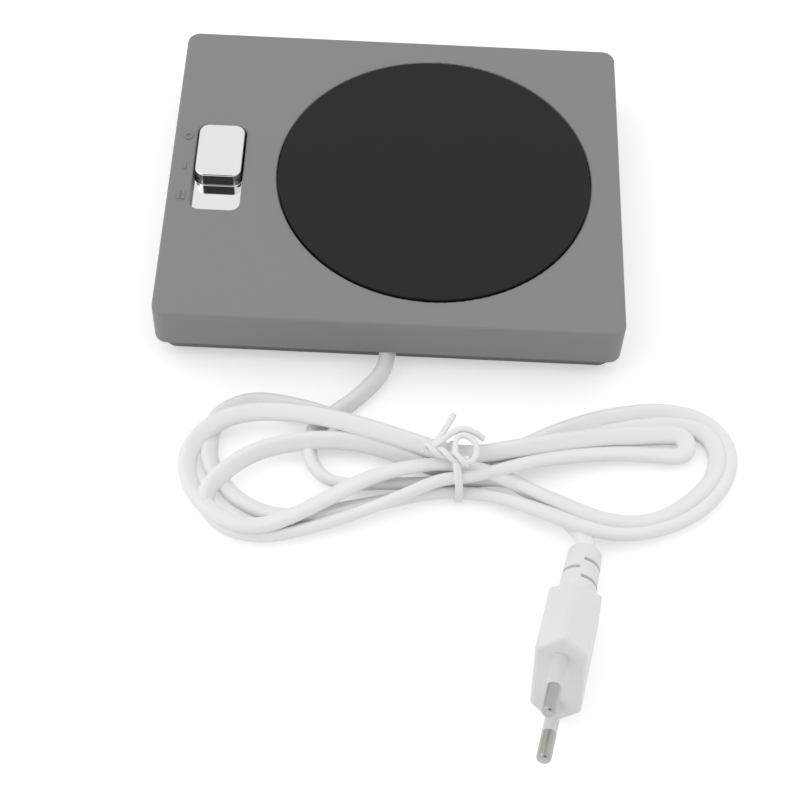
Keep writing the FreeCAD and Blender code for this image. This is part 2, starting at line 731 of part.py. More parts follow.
# Thermal fuse in its sleeve, strapped to the retaining plate
FUSE_X = f"({PLATE_X} - 4)"
FUSE_SLEEVE_DIAMETER = "(fuse_diameter + 2 * fuse_wall)"
FUSE_Z = f"({RETAINER_UNDER} - {FUSE_SLEEVE_DIAMETER} / 2)"
FUSE_Y = "(fuse_sleeve_length / 2 + 22)"


def build_thermal_fuse():
    along = (0, 1, 0)

    def centred_rod(name, diameter, length):
        return rod(name, (FUSE_X, f"{FUSE_Y} - ({length}) / 2", FUSE_Z), along, diameter, length)

    leads = centred_rod("fuse_leads", "fuse_lead_diameter", "fuse_sleeve_length + 6")
    fuse = join("thermal_fuse", centred_rod("fuse_barrel", "fuse_diameter", "fuse_length"), leads)
    sleeve_solid = centred_rod("fuse_sleeve_solid", FUSE_SLEEVE_DIAMETER, "fuse_sleeve_length")
    sleeve_bore = centred_rod("fuse_sleeve_bore", "fuse_diameter", "fuse_sleeve_length + 2")
    sleeve = cut("fuse_sleeve", sleeve_solid, sleeve_bore)
    strap_width = f"({FUSE_SLEEVE_DIAMETER} + 2 * clip_thickness)"
    hoop = centred_rod("clip_hoop", strap_width, "clip_width")
    cheeks = block(
        "clip_cheeks", FUSE_X, FUSE_Y, FUSE_Z, strap_width, "clip_width", f"{RETAINER_UNDER} - {FUSE_Z}"
    )
    feet = block(
        "clip_feet", FUSE_X, FUSE_Y, f"{RETAINER_UNDER} - clip_thickness", f"{strap_width} + 8", "clip_width",
        "clip_thickness"
    )
    way = centred_rod("clip_way", FUSE_SLEEVE_DIAMETER, "clip_width + 2")
    mouth = block(
        "clip_mouth", FUSE_X, FUSE_Y, FUSE_Z, FUSE_SLEEVE_DIAMETER, "clip_width + 2", f"{RETAINER_UNDER} - {FUSE_Z} + 1"
    )
    lid = block("clip_lid", FUSE_X, FUSE_Y, RETAINER_UNDER, "20", "clip_width + 2", "5")
    clip = cut("fuse_clip", join("clip_blank", hoop, cheeks, feet), way, mouth, lid)
    return [fuse, sleeve, clip]


# Slide button: chrome-plated block on a flat skirt, with a hollow stem for the switch's stub
def build_slide_button():
    width = "(slot_width - 2 * block_side_gap)"
    height = "(skirt_depth + block_rise)"
    knob = rounded_pad("button_block", SLOT_X, BUTTON_Y, SKIRT_TOP, width, "block_length", "block_corner", height)
    round_level(knob, "button_block_round", height, "block_round")
    skirt = rounded_pad(
        "button_skirt", SLOT_X, BUTTON_Y, SKIRT_UNDER, SKIRT_WIDTH, SKIRT_LENGTH, "block_corner", "skirt_thickness"
    )
    stem_under = f"({GUIDE_UNDER} + slide_gap)"
    stem = block(
        "button_stem", SLOT_X, BUTTON_Y, stem_under, "stem_width", "stem_length", f"{SKIRT_UNDER} - {stem_under} + 0.5"
    )
    socket = block(
        "button_socket", SLOT_X, BUTTON_Y, f"{stem_under} - 1", "stub_width", "stub_length",
        f"{ACTUATOR_TOP} + stub_reach - {stem_under} + 1"
    )
    foot, centre_x, centre_y = value(SKIRT_TOP), value(SLOT_X), value(BUTTON_Y)
    reach_x, reach_y = value("slot_width / 2"), value("block_length / 2 + block_side_gap")

    def at_foot(point):
        within = abs(point.x - centre_x) < reach_x and abs(point.y - centre_y) < reach_y
        return within and abs(point.z - foot) < 1e-6

    blank = join("button_blank", knob, skirt, stem)
    return cut("slide_button", round_where("button_foot", blank, value("block_foot_round"), at_foot), socket)


# Slide guide: tray under the skirt with a rail along each side
def build_slide_guide():
    floor = block("guide_floor", SLOT_X, "0", GUIDE_UNDER, GUIDE_WIDTH, GUIDE_LENGTH, "guide_thickness")
    rails = [
        block(f"guide_rail_{i}", f"{SLOT_X} + {i} * ({GUIDE_WIDTH} - rail_width) / 2", "0", GUIDE_UNDER, "rail_width",
              f"2 * {SKIRT_REACH}", f"{SKIRT_TOP} - {GUIDE_UNDER}")
        for i in ("1", "-1")
    ]
    way = block(
        "guide_way", SLOT_X, "0", f"{GUIDE_UNDER} - 1", "stem_width + 2 * slide_gap",
        "stem_length + slide_travel + 2 * slide_gap", "guide_thickness + 2"
    )
    holes = [
        post(f"guide_way_hole_{i}", x, y, f"{GUIDE_UNDER} - 1", "small_screw_diameter", "guide_thickness + 2")
        for i, (x, y) in enumerate(GUIDE_SCREWS + SWITCH_SCREWS)
    ]
    return cut("slide_guide", join("guide_blank", floor, *rails), way, *holes)


SWITCH_SCREWS = [(SLOT_X, f"{j} * (frame_length + frame_ear) / 2") for j in ("1", "-1")]


def build_guide_screws():
    length = f"({ROOF_UNDER} - {GUIDE_UNDER} - 0.5)"
    head_under = f"({GUIDE_UNDER} - pan_head_height)"
    return screws("guide_screws", GUIDE_SCREWS, head_under, "pan_head_height", "small_screw_diameter", length)


# Switch frame: folded steel with an ear at each end and a slot for the stub
def build_switch_frame():
    top = block(
        "frame_top", SLOT_X, "0", FRAME_UNDER, "frame_width", "frame_length + 2 * frame_ear", "frame_thickness"
    )
    sides = [
        block(f"frame_side_{i}", f"{SLOT_X} + {i} * (frame_width - frame_thickness) / 2", "0", "base_height",
              "frame_thickness", "frame_length", f"{FRAME_UNDER} - base_height + frame_thickness / 2")
        for i in ("1", "-1")
    ]
    way = block(
        "frame_way", SLOT_X, "0", f"{FRAME_UNDER} - 1", "stub_width + 2 * slide_gap",
        "stub_length + slide_travel + 2 * slide_gap", "frame_thickness + 2"
    )
    holes = [
        post(f"frame_hole_{i}", x, y, f"{FRAME_UNDER} - 1", "small_screw_diameter", "frame_thickness + 2")
        for i, (x, y) in enumerate(SWITCH_SCREWS)
    ]
    detents = [
        rod(f"detent_hole_{i}", (f"{SLOT_X} - frame_width / 2 - 1", f"{i} * slide_travel / 2", DETENT_Z), (1, 0, 0),
            "ball_diameter * 0.7", "frame_thickness + 2")
        for i in ("1", "0", "-1")
    ]
    return cut("switch_frame", join("frame_blank", top, *sides), way, *holes, *detents)


DETENT_Z = f"(({ACTUATOR_UNDER} + {ACTUATOR_TOP}) / 2)"


def build_switch_screws():
    length = f"({GUIDE_TOP} - {FRAME_UNDER})"
    head_under = f"({FRAME_UNDER} - pan_head_height)"
    return screws("switch_screws", SWITCH_SCREWS, head_under, "pan_head_height", "small_screw_diameter", length)


# Switch base: phenolic board between the frame's sides, with four riveted terminals
CONTACT_YS = [f"{step} * contact_pitch" for step in ("-1.5", "-0.5", "0.5", "1.5")]


def build_switch_base():
    board = block(
        "base_board", SLOT_X, "0", "base_height", "frame_width - 2 * frame_thickness", "frame_length", "base_thickness"
    )
    ways = [
        block(f"base_way_{i}", SLOT_X, y, "base_height - 1", "tail_width", "tail_thickness", "base_thickness + 2")
        for i, y in enumerate(CONTACT_YS)
    ]
    return cut("switch_base", board, *ways)


def build_switch_terminals():
    terminals = []
    for i, y in enumerate(CONTACT_YS):
        pad = block(f"contact_pad_{i}", SLOT_X, y, BASE_TOP, "contact_width", "contact_length", "contact_thickness")
        tail = block(
            f"contact_tail_{i}", SLOT_X, y, f"{BASE_TOP} - tail_length", "tail_width", "tail_thickness",
            "tail_length + contact_thickness / 2"
        )
        terminals.append(join(f"switch_terminal_{i}", pad, tail))
    return group("switch_terminals", *terminals)


# Switch actuator with its bridging contact, detent ball and spring, which all move with the button
def build_switch_actuator():
    inner = "(frame_width - 2 * frame_thickness)"
    body = block(
        "actuator_body", SLOT_X, BUTTON_Y, ACTUATOR_UNDER, f"{inner} - 2 * slide_gap", "actuator_length",
        f"{ACTUATOR_TOP} - {ACTUATOR_UNDER}"
    )
    stub = block(
        "actuator_stub", SLOT_X, BUTTON_Y, f"{ACTUATOR_TOP} - 0.5", "stub_width", "stub_length", "stub_reach + 0.5"
    )
    side = f"({SLOT_X} - {inner} / 2 + slide_gap)"
    bore_length = "(ball_diameter + spring_length - 0.05)"
    bore = rod("detent_bore", (side, BUTTON_Y, DETENT_Z), (1, 0, 0), "ball_diameter", bore_length)
    actuator = cut("switch_actuator", join("actuator_blank", body, stub), bore)
    wiper = block(
        "moving_contact", SLOT_X, BUTTON_Y, WIPER_UNDER, "wiper_width", "contact_pitch + contact_length / 2", "wiper_thickness"
    )
    ball = doc.addObject("Part::Sphere", "detent_ball")
    bind(ball, "Radius", "ball_diameter / 2")
    place(ball, f"{side} + ball_diameter / 2", BUTTON_Y, DETENT_Z)
    coil_start = (f"{side} + ball_diameter", BUTTON_Y, DETENT_Z)
    coil = rod("spring_tube", coil_start, (1, 0, 0), "ball_diameter - 0.1", "spring_length - 0.05")
    core = rod("spring_core", coil_start, (1, 0, 0), "ball_diameter - 0.1 - 2 * spring_wall", "spring_length")
    return [actuator, wiper, ball, cut("detent_spring", coil, core)]


# Diode between the two middle terminals of the switch
def build_diode():
    lead_x = f"({SLOT_X} + tail_width / 2 + diode_lead_diameter / 2)"
    height = "(base_height - 1.6)"
    lead_length = "(contact_pitch + tail_thickness)"
    lead = rod("diode_lead", (lead_x, f"-{lead_length} / 2", height), (0, 1, 0), "diode_lead_diameter", lead_length)
    barrel = rod("diode_barrel", (lead_x, "-diode_length / 2", height), (0, 1, 0), "diode_diameter", "diode_length")
    return join("diode", lead, barrel)


# Clamp bar that holds the lead down between two bosses of the cover
def build_cord_clamp():
    bar = block("clamp_bar", "0", CLAMP_Y, CLAMP_UNDER, "clamp_length", "clamp_width", "clamp_thickness")
    holes = [
        post(f"clamp_bar_hole_{i}", x, y, f"{CLAMP_UNDER} - 1", "small_screw_diameter", "clamp_thickness + 2")
        for i, (x, y) in enumerate(CLAMP_SCREWS)
    ]
    heads, clamp_top = [], f"({CLAMP_UNDER} + clamp_thickness)"
    for i, (x, y) in enumerate(CLAMP_SCREWS):
        head = post(f"clamp_screw_head_{i}", x, y, clamp_top, "screw_head_diameter", "pan_head_height")
        shank = post(
            f"clamp_screw_shank_{i}", x, y, f"{COVER_TOP} + 0.2", "small_screw_diameter",
            f"{clamp_top} - {COVER_TOP} + pan_head_height / 2 - 0.2"
        )
        heads.append(join(f"clamp_screw_{i}", head, shank))
    return [cut("cord_clamp", bar, *holes), group("clamp_screws", *heads)]


def arc_between(start, corner, finish):
    """The arc that leaves start and meets finish, tangent to the two equal legs through a corner."""
    half_chord = (finish - start).Length / 2
    weight = half_chord / (corner - start).Length
    middle = ((start + finish) / 2 + corner * weight) / (1 + weight)
    return Part.Arc(start, middle, finish).toShape()


def rounded_route(points, share=0.45):
    """Straight runs through the points, joined by tangent arcs, and the arcs' radii."""
    edges, radii, here = [], [], points[0]
    for before, corner, after in zip(points, points[1:], points[2:]):
        inward = (corner - before).normalize()
        outward = (after - corner).normalize()
        leg = share * min((corner - before).Length, (after - corner).Length)
        start, finish = corner - inward * leg, corner + outward * leg
        edges.append(Part.LineSegment(here, start).toShape())
        edges.append(arc_between(start, corner, finish))
        radii.append(leg / math.tan(inward.getAngle(outward) / 2))
        here = finish
    edges.append(Part.LineSegment(here, points[-1]).toShape())
    return edges, radii


def sweep(name, edges, diameter):
    """A round tube along edges that join smoothly."""
    start = edges[0].valueAt(edges[0].FirstParameter)
    heading = edges[0].tangentAt(edges[0].FirstParameter)
    ring = Part.Wire([Part.Circle(start, heading, diameter / 2).toShape()])
    shape = Part.Wire(edges).makePipeShell([ring], True, False)
    length = sum(edge.Length for edge in edges)
    section = math.pi * diameter**2 / 4
    print(f"{name}: length {length:.1f}, volume over section times length {shape.Volume / (section * length):.4f}")
    return feature(name, shape)


def wire(name, points, diameter="core_diameter"):
    """An insulated wire through points given as formulas."""
    places = [FreeCAD.Vector(*[value(text) for text in point]) for point in points]
    edges, radii = rounded_route(places)
    return sweep(name, edges, value(diameter))


# Sheathed lead inside the case, its two cores, and the wires from piece to piece
def build_inner_wiring():
    lane = f"({COVER_TOP} + core_diameter / 2 + 0.3)"
    front = "(-shell_width / 2)"
    mouth = f"({front} + shell_wall + cover_gap - 0.5)"
    end = f"({front} + inner_cord_length)"
    inner_cord = wire(
        "cord_inner",
        [
            ("0", mouth, "exit_height"),
            ("0", f"{mouth} + 5", "exit_height + 0.1"),
            ("0", f"{CLAMP_Y} - clamp_width / 2", INNER_CORD_Z),
            ("0", end, INNER_CORD_Z),
        ],
        "cord_tube_diameter",
    )
    tail_z = f"({BASE_TOP} - tail_length + 1)"
    tail_side = f"({SLOT_X} + tail_width / 2)"
    crimp_under = f"({RIBBON_UNDER} - element_pin_length - 0.5)"
    live = wire(
        "live_wire",
        [
            ("-1.1", end, INNER_CORD_Z),
            ("-1.1", f"{end} + 5", f"{lane} + 0.2"),
            ("-12", CONTACT_YS[0] + " - 6", lane),
            (f"{tail_side} + 8", CONTACT_YS[0] + " - 1", lane),
            (tail_side, CONTACT_YS[0], tail_z),
        ],
    )
    crimp_foot = f"({crimp_under} - crimp_length)"
    neutral = wire(
        "neutral_wire",
        [
            ("1.1", end, INNER_CORD_Z),
            ("1.1", f"{end} + 6", f"{lane} + 0.2"),
            ("4", f"{end} + 14", lane),
            (ELEMENT_PINS[1][0], ELEMENT_PINS[1][1] + " - 6", lane),
            (ELEMENT_PINS[1][0], ELEMENT_PINS[1][1], f"{lane} + 0.5"),
            (ELEMENT_PINS[1][0], ELEMENT_PINS[1][1], crimp_foot),
        ],
    )
    tab_under = f"({RETAINER_UNDER} - thermostat_cap_height - thermostat_body_height - terminal_tab_thickness)"
    tab_y = "(terminal_tab_length / 2 + 4)"
    feed = wire(
        "switch_wire",
        [
            (tail_side, CONTACT_YS[3], tail_z),
            (f"{tail_side} + 9", CONTACT_YS[3] + " - 2", lane),
            ("-26", "-2", f"{lane} + 0.6"),
            ("-12", "-16", f"{lane} + 2.8"),
            ("8", "-18", f"{lane} + 2.6"),
            (f"{THERMOSTAT_X} - 6", f"-{tab_y} - 4", lane),
            (THERMOSTAT_X, f"-{tab_y}", f"{lane} + 0.4"),
            (THERMOSTAT_X, f"-{tab_y}", tab_under),
        ],
    )
    fuse_near = f"({FUSE_Y} - fuse_sleeve_length / 2 - 3)"
    fuse_far = f"({FUSE_Y} + fuse_sleeve_length / 2 + 3)"
    link = wire(
        "thermostat_wire",
        [
            (THERMOSTAT_X, tab_y, tab_under),
            (THERMOSTAT_X, tab_y, f"{lane} + 0.6"),
            (f"{THERMOSTAT_X} - 2", f"{tab_y} + 9", lane),
            (f"{FUSE_X} + 9", f"{fuse_far} + 1", f"{lane} + 2"),
            (FUSE_X, f"{fuse_far} + 8", f"{FUSE_Z} - 1"),
            (FUSE_X, fuse_far, FUSE_Z),
        ],
    )
    supply = wire(
        "element_wire",
        [
            (FUSE_X, fuse_near, FUSE_Z),
            (FUSE_X, f"{fuse_near} - 4", f"{FUSE_Z} - 1"),
            (f"{ELEMENT_PINS[0][0]} + 1", f"{ELEMENT_PINS[0][1]} + 5", f"{lane} + 1.2"),
            (ELEMENT_PINS[0][0], ELEMENT_PINS[0][1], f"{lane} + 0.6"),
            (ELEMENT_PINS[0][0], ELEMENT_PINS[0][1], crimp_foot),
        ],
    )
    crimps = []
    for i, (x, y) in enumerate(ELEMENT_PINS):
        barrel = post(f"crimp_barrel_{i}", x, y, crimp_foot, "crimp_diameter", "crimp_length + 2")
        bore = post(f"crimp_bore_{i}", x, y, crimp_under, "element_pin_diameter", "crimp_length")
        crimps.append(cut(f"crimp_{i}", barrel, bore))
    return [inner_cord, live, neutral, feed, link, supply, group("crimp_connectors", *crimps)]


# Hank: one tube wound round and round between two lobes, drawn in at the waist, in two layers.
# Eight stations make a turn. The tube starts outermost in the upper layer at the back of the left
# lobe, steps inward with every station, climbs down where it turns outward again, and ends
# outermost in the lower layer at the front of the waist.
HANK_STATIONS = 27
STATIONS_PER_TURN = 8
LAYER_CHANGE = (13, 15)


def hank_point(station):
    """The place and heading of the tube at a station, in the hank's own frame."""
    inward = min(station, HANK_STATIONS - station) / STATIONS_PER_TURN
    end = value("hank_half_length") - inward * value("hank_step")
    lobe = value("hank_lobe_half_width") - inward * value("hank_step")
    waist = value("hank_waist_half_width") - inward * value("hank_waist_step")
    shoulder = value("hank_half_length - hank_lobe_half_width")
    x, y, heading = [
        (-shoulder, lobe, (-1, 0)),
        (-end, 0, (0, -1)),
        (-shoulder, -lobe, (1, 0)),
        (0, -waist, (1, 0)),
        (shoulder, -lobe, (1, 0)),
        (end, 0, (0, 1)),
        (shoulder, lobe, (-1, 0)),
        (0, waist, (-1, 0)),
    ][station % STATIONS_PER_TURN]
    first, last = LAYER_CHANGE
    climb = min(max((station - first) / (last - first), 0), 1)
    lower = value("hank_lift + cord_tube_diameter / 2")
    z = lower + (1 - climb) * value("hank_layer_step")
    return FreeCAD.Vector(x, y, z), FreeCAD.Vector(*heading, 0)


def biarc(start, leaving, finish, arriving):
    """Two arcs that join two places with their headings, with equal legs."""
    span = finish - start
    both = leaving + arriving
    turning = 2 * (1 - leaving.dot(arriving))
    if turning < 1e-9:
        leg = span.dot(span) / (4 * span.dot(leaving))
    else:
        reach = span.dot(both)
        leg = (math.sqrt(reach**2 + turning * span.dot(span)) - reach) / turning
    first_corner, second_corner = start + leaving * leg, finish - arriving * leg
    middle = (first_corner + second_corner) / 2
    return [arc_between(start, first_corner, middle), arc_between(middle, second_corner, finish)]


def hank_edges():
    edges = []
    start, heading = hank_point(0)
    run = value("hank_end_run")
    edges.append(Part.LineSegment(start - heading * run, start).toShape())
    for station in range(HANK_STATIONS):
        edges += biarc(*hank_point(station), *hank_point(station + 1))
    finish, heading = hank_point(HANK_STATIONS)
    edges.append(Part.LineSegment(finish, finish + heading * run).toShape())
    return edges


def hank_placement():
    base = FreeCAD.Vector(value("hank_centre_x"), value("hank_centre_y"), 0)
    return FreeCAD.Placement(base, FreeCAD.Rotation(FreeCAD.Vector(0, 0, 1), value("hank_angle")))


def print_least_gap(edges, diameter):
    """The least distance between strands that are more than a few diameters apart along the tube."""
    points, travelled, places = [], 0.0, []
    for edge in edges:
        steps = max(2, round(edge.Length / 1.5))
        for point in edge.discretize(steps)[:-1]:
            points.append(point)
            places.append(travelled)
            travelled += edge.Length / (steps - 1)
    least = min(
        (points[i] - points[j]).Length
        for i in range(len(points))
        for j in range(i)
        if places[i] - places[j] > 4 * diameter
    )
    print(f"hank: least gap to itself {least - diameter:.2f}")


def build_hank():
    edges = hank_edges()
    diameter = value("cord_tube_diameter")
    print_least_gap(edges, diameter)
    curved = [edge.Curve.Radius for edge in edges if isinstance(edge.Curve, Part.Circle)]
    print(f"hank: least radius {min(curved):.1f}")
    hank = sweep("cord_hank", edges, diameter)
    hank.Placement = hank_placement()
    return hank


def hank_place(x, y, z):
    """A place given in the hank's frame, in the frame of the part."""
    return hank_placement().multVec(FreeCAD.Vector(x, y, z))


# Loose stretch from the case to the hank, and from the hank to the plug
def build_loose_cord():
    diameter = value("cord_tube_diameter")
    first, first_heading = hank_point(0)
    run = value("hank_end_run")
    joint = hank_place(*(first - first_heading * run))
    mouth_y = value("-shell_width / 2 + shell_wall + cover_gap - 0.5")
    lead_points = [
        FreeCAD.Vector(0, mouth_y, value("exit_height")),
        FreeCAD.Vector(-0.3, -63.0, 4.3),
        FreeCAD.Vector(-4.0, -69.5, 4.8),
        FreeCAD.Vector(-11.0, -74.0, 6.2),
        FreeCAD.Vector(-20.5, -76.4, 7.7),
        joint,
    ]
    last, last_heading = hank_point(HANK_STATIONS)
    tail_start = last + last_heading * run
    relief_end = plug_placement().multVec(FreeCAD.Vector(-value("plug_body_length + relief_length"), 0, 0))
    toward_plug = plug_placement().Rotation.multVec(FreeCAD.Vector(1, 0, 0))
    height = tail_start.z
    tail_points = [
        hank_place(*tail_start),
        hank_place(9.8, tail_start.y, height),
        hank_place(17.0, -10.9, height),
        hank_place(25.2, -13.6, height),
        hank_place(33.2, -16.8, height + 0.4),
        relief_end - toward_plug * 6.2,
        relief_end,
    ]
    cords = []
    for name, points in (("cord_lead", lead_points), ("cord_tail", tail_points)):
        edges, radii = rounded_route(points)
        print(name, "radii", [round(radius, 1) for radius in radii])
        cords.append(sweep(name, edges, diameter))
    return cords


# Tie: a band round the waist, a twisted knot on it and two free tails
def build_tie():
    near = value("hank_waist_half_width + cord_tube_diameter / 2 + tie_clearance")
    far = value("hank_waist_half_width - hank_waist_step / 2 + cord_tube_diameter / 2 + tie_clearance")
    low = value("hank_lift - tie_clearance")
    high = value("hank_lift + hank_layer_step + cord_tube_diameter + tie_clearance")
    thickness, width = value("tie_thickness"), value("tie_width")
    inner = Part.makeBox(width + 2, near + far, high - low, FreeCAD.Vector(-width / 2 - 1, -near, low))
    outer = Part.makeBox(
        width, near + far + 2 * thickness, high - low + 2 * thickness,
        FreeCAD.Vector(-width / 2, -near - thickness, low - thickness)
    )
    corners_along = [edge for edge in outer.Edges if abs(edge.tangentAt(edge.FirstParameter).x) > 0.9]
    outer = outer.makeFillet(1.5 * thickness, corners_along)
    inner_corners = [edge for edge in inner.Edges if abs(edge.tangentAt(edge.FirstParameter).x) > 0.9]
    inner = inner.makeFillet(0.5 * thickness, inner_corners)
    knot_radius, tail_radius = value("tie_knot_diameter / 2"), value("tie_tail_diameter / 2")
    top = high + thickness
    knot_start = FreeCAD.Vector(1.0, 1.0, top + knot_radius * 0.7)
    knot_heading = FreeCAD.Vector(-0.95, 0.3, 0.05)
    knot = Part.makeCylinder(knot_radius, value("tie_knot_length"), knot_start, knot_heading)
    knot_end = knot_start + knot_heading.normalize() * value("tie_knot_length - 1")
    tail_length = value("tie_tail_length")
    tails = [
        Part.makeCylinder(tail_radius, tail_length * share, knot_end, FreeCAD.Vector(*heading))
        for share, heading in ((1.0, (0.55, 0.8, 0.1)), (0.6, (0.1, 0.95, 0.25)))
    ]
    tie = feature("cord_tie", outer.cut(inner).fuse([knot] + tails).removeSplitter())
    tie.Placement = hank_placement()
    return tie


# Plug: it lies on one narrow edge, so its pins stand one above the other and point a little upward
def plug_placement():
    turn = FreeCAD.Rotation(FreeCAD.Vector(0, 0, 1), value("plug_heading"))
    tilt = FreeCAD.Rotation(FreeCAD.Vector(0, 1, 0), -value("plug_pitch"))
    lean = FreeCAD.Rotation(FreeCAD.Vector(1, 0, 0), value("plug_lean"))
    pitch = math.radians(value("plug_pitch"))
    height = value("plug_span") / 2 * math.cos(pitch) + value("plug_floor_gap")
    base = FreeCAD.Vector(value("plug_face_x"), value("plug_face_y"), height)
    return FreeCAD.Placement(base, turn * tilt * lean)


def hexagon(x, span, depth, flat):
    """A flat hexagon across the plug, with a point at the top and at the bottom."""
    outline = [(0, span / 2), (depth / 2, flat / 2), (depth / 2, -flat / 2)]
    outline += [(-y, -z) for y, z in outline]
    points = [FreeCAD.Vector(x, y, z) for y, z in outline]
    return Part.makePolygon(points + points[:1])


def build_plug():
    span, depth, flat = value("plug_span"), value("plug_depth"), value("plug_flat")
    waist_span, waist_depth = value("plug_waist_span"), value("plug_waist_depth")
    body_length = value("plug_body_length")
    sections = [
        hexagon(0, span, depth, flat),
        hexagon(-body_length, waist_span, waist_depth, flat * waist_span / span),
    ]
    body = Part.makeLoft(sections, True, True)
    body = body.makeFillet(value("plug_edge_round"), body.Edges)
    relief_length = value("relief_length")
    root, tip = value("relief_root_diameter / 2"), value("relief_end_diameter / 2")
    backward = FreeCAD.Vector(-1, 0, 0)
    relief = Part.makeCone(root, tip, relief_length + 1, FreeCAD.Vector(1 - body_length, 0, 0), backward)
    core_radius, slot_width = value("relief_core_diameter / 2"), value("relief_slot_width")
    core = Part.makeCylinder(core_radius, relief_length + 2, FreeCAD.Vector(1 - body_length, 0, 0), backward)
    slots = []
    for index, side in enumerate((1, -1, 1)):
        slot_x = -body_length - value("relief_first_slot") - index * value("relief_slot_pitch") - slot_width
        slot_y = value("relief_slot_start") if side > 0 else -value("relief_slot_start") - 2 * root
        corner = FreeCAD.Vector(slot_x, slot_y, -2 * root)
        slots.append(Part.makeBox(slot_width, 2 * root, 4 * root, corner).cut(core))
    roots = [
        Part.makeCylinder(value("pin_diameter / 2"), value("pin_root"), FreeCAD.Vector(-value("pin_root"), 0, z),
                          FreeCAD.Vector(1, 0, 0))
        for z in (value("pin_pitch / 2"), -value("pin_pitch / 2"))
    ]
    plug = feature("plug_body", body.fuse(relief).cut(slots + roots))
    plug.Placement = plug_placement()
    return plug


def build_pins():
    radius, length, bare = value("pin_diameter / 2"), value("pin_length"), value("pin_bare_length")
    wall, rooted = value("sleeve_wall"), value("pin_root")
    forward = FreeCAD.Vector(1, 0, 0)
    pins, sleeves = [], []
    for z in (value("pin_pitch / 2"), -value("pin_pitch / 2")):
        core = Part.makeCylinder(radius - wall, rooted + length, FreeCAD.Vector(-rooted, 0, z), forward)
        bare_pin = Part.makeCylinder(radius, bare, FreeCAD.Vector(length - bare, 0, z), forward)
        foot = Part.makeCylinder(radius, rooted, FreeCAD.Vector(-rooted, 0, z), forward)
        pin = core.fuse([bare_pin, foot]).removeSplitter()
        tip = [edge for edge in pin.Edges if edge.BoundBox.XMin > length - 1e-6]
        pins.append(pin.makeFillet(radius * 0.6, tip))
        jacket = Part.makeCylinder(radius, length - bare, FreeCAD.Vector(0, 0, z), forward)
        way = Part.makeCylinder(radius - wall, length - bare, FreeCAD.Vector(0, 0, z), forward)
        sleeves.append(jacket.cut(way))
    things = [feature("plug_pins", Part.makeCompound(pins)), feature("pin_sleeves", Part.makeCompound(sleeves))]
    for thing in things:
        thing.Placement = plug_placement()
    return things


def build_all():
    pieces = [build_top_shell(), build_bottom_cover(), *build_feet(), build_case_screws()]
    pieces += [build_heating_plate(), build_plate_seal(), *build_stack(), build_heating_element()]
    pieces += [build_retaining_plate(), build_plate_screws(), *build_thermostat(), *build_thermal_fuse()]
    pieces += [build_slide_button(), build_slide_guide(), build_guide_screws()]
    pieces += [build_switch_frame(), build_switch_base(), build_switch_terminals(), build_switch_screws()]
    pieces += [*build_switch_actuator(), build_diode(), *build_cord_clamp(), *build_inner_wiring()]
    pieces += [*build_loose_cord(), build_hank(), build_tie(), build_plug(), *build_pins()]
    return pieces


def export(pieces):
    """Check every object and write one file for each piece."""
    doc.recompute()
    failed = [thing.Name for thing in doc.Objects if {"Invalid", "Error"} & set(thing.State)]
    if failed:
        raise RuntimeError(f"failed objects: {failed}")
    os.makedirs("parts", exist_ok=True)
    for piece in pieces:
        shape = piece.Shape
        if shape.isNull() or not shape.isValid() or not shape.Solids:
            raise RuntimeError(f"{piece.Label} has no valid solid")
        shape.exportStep(f"parts/{piece.Label}.step")
    print(len(pieces), "pieces")


export(build_all())
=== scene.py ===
import bpy
import math
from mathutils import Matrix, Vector


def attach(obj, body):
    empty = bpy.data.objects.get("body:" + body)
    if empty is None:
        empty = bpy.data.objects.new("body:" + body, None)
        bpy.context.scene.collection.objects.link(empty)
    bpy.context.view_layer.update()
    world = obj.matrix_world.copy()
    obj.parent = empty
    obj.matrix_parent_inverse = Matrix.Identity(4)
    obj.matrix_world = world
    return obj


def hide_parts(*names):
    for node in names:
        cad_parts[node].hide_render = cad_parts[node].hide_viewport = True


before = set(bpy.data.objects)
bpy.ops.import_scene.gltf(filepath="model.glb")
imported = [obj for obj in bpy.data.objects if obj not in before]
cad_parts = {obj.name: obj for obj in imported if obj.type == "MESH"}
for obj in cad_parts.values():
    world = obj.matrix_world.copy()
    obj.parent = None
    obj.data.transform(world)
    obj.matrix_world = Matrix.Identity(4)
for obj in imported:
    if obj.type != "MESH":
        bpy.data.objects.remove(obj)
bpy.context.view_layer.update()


# Top shell
# The case's upper half, moulded in one in grey ABS, with the button's slot, the plate's opening and the
# raised marks. The mould is spark eroded, which leaves an even, very fine grain. Four screws from below
# hold it on the bottom cover.
MM_PER_METRE = 1000
MOTTLE_GRAINS = 40  # one patch of the soft mottle is as wide as this many grains
PATTERN_RANGE = (0.3, 0.7)  # nearly all of a noise pattern lies between these
PLASTIC_IOR = 1.5


def linear(colour):
    """A hex sRGB colour as the linear colour that a shader takes."""
    parts = [int(colour[i : i + 2], 16) / 255 for i in (1, 3, 5)]
    return [p / 12.92 if p <= 0.04045 else ((p + 0.055) / 1.055) ** 2.4 for p in parts] + [1]


def add(tree, kind, inputs, **settings):
    """A shader node with its settings made, and each input given a value or the output that feeds it."""
    node = tree.nodes.new(kind)
    for name, value in settings.items():
        setattr(node, name, value)
    for key, value in inputs.items():
        if isinstance(value, bpy.types.NodeSocket):
            tree.links.new(value, node.inputs[key])
        else:
            node.inputs[key].default_value = value
    return node


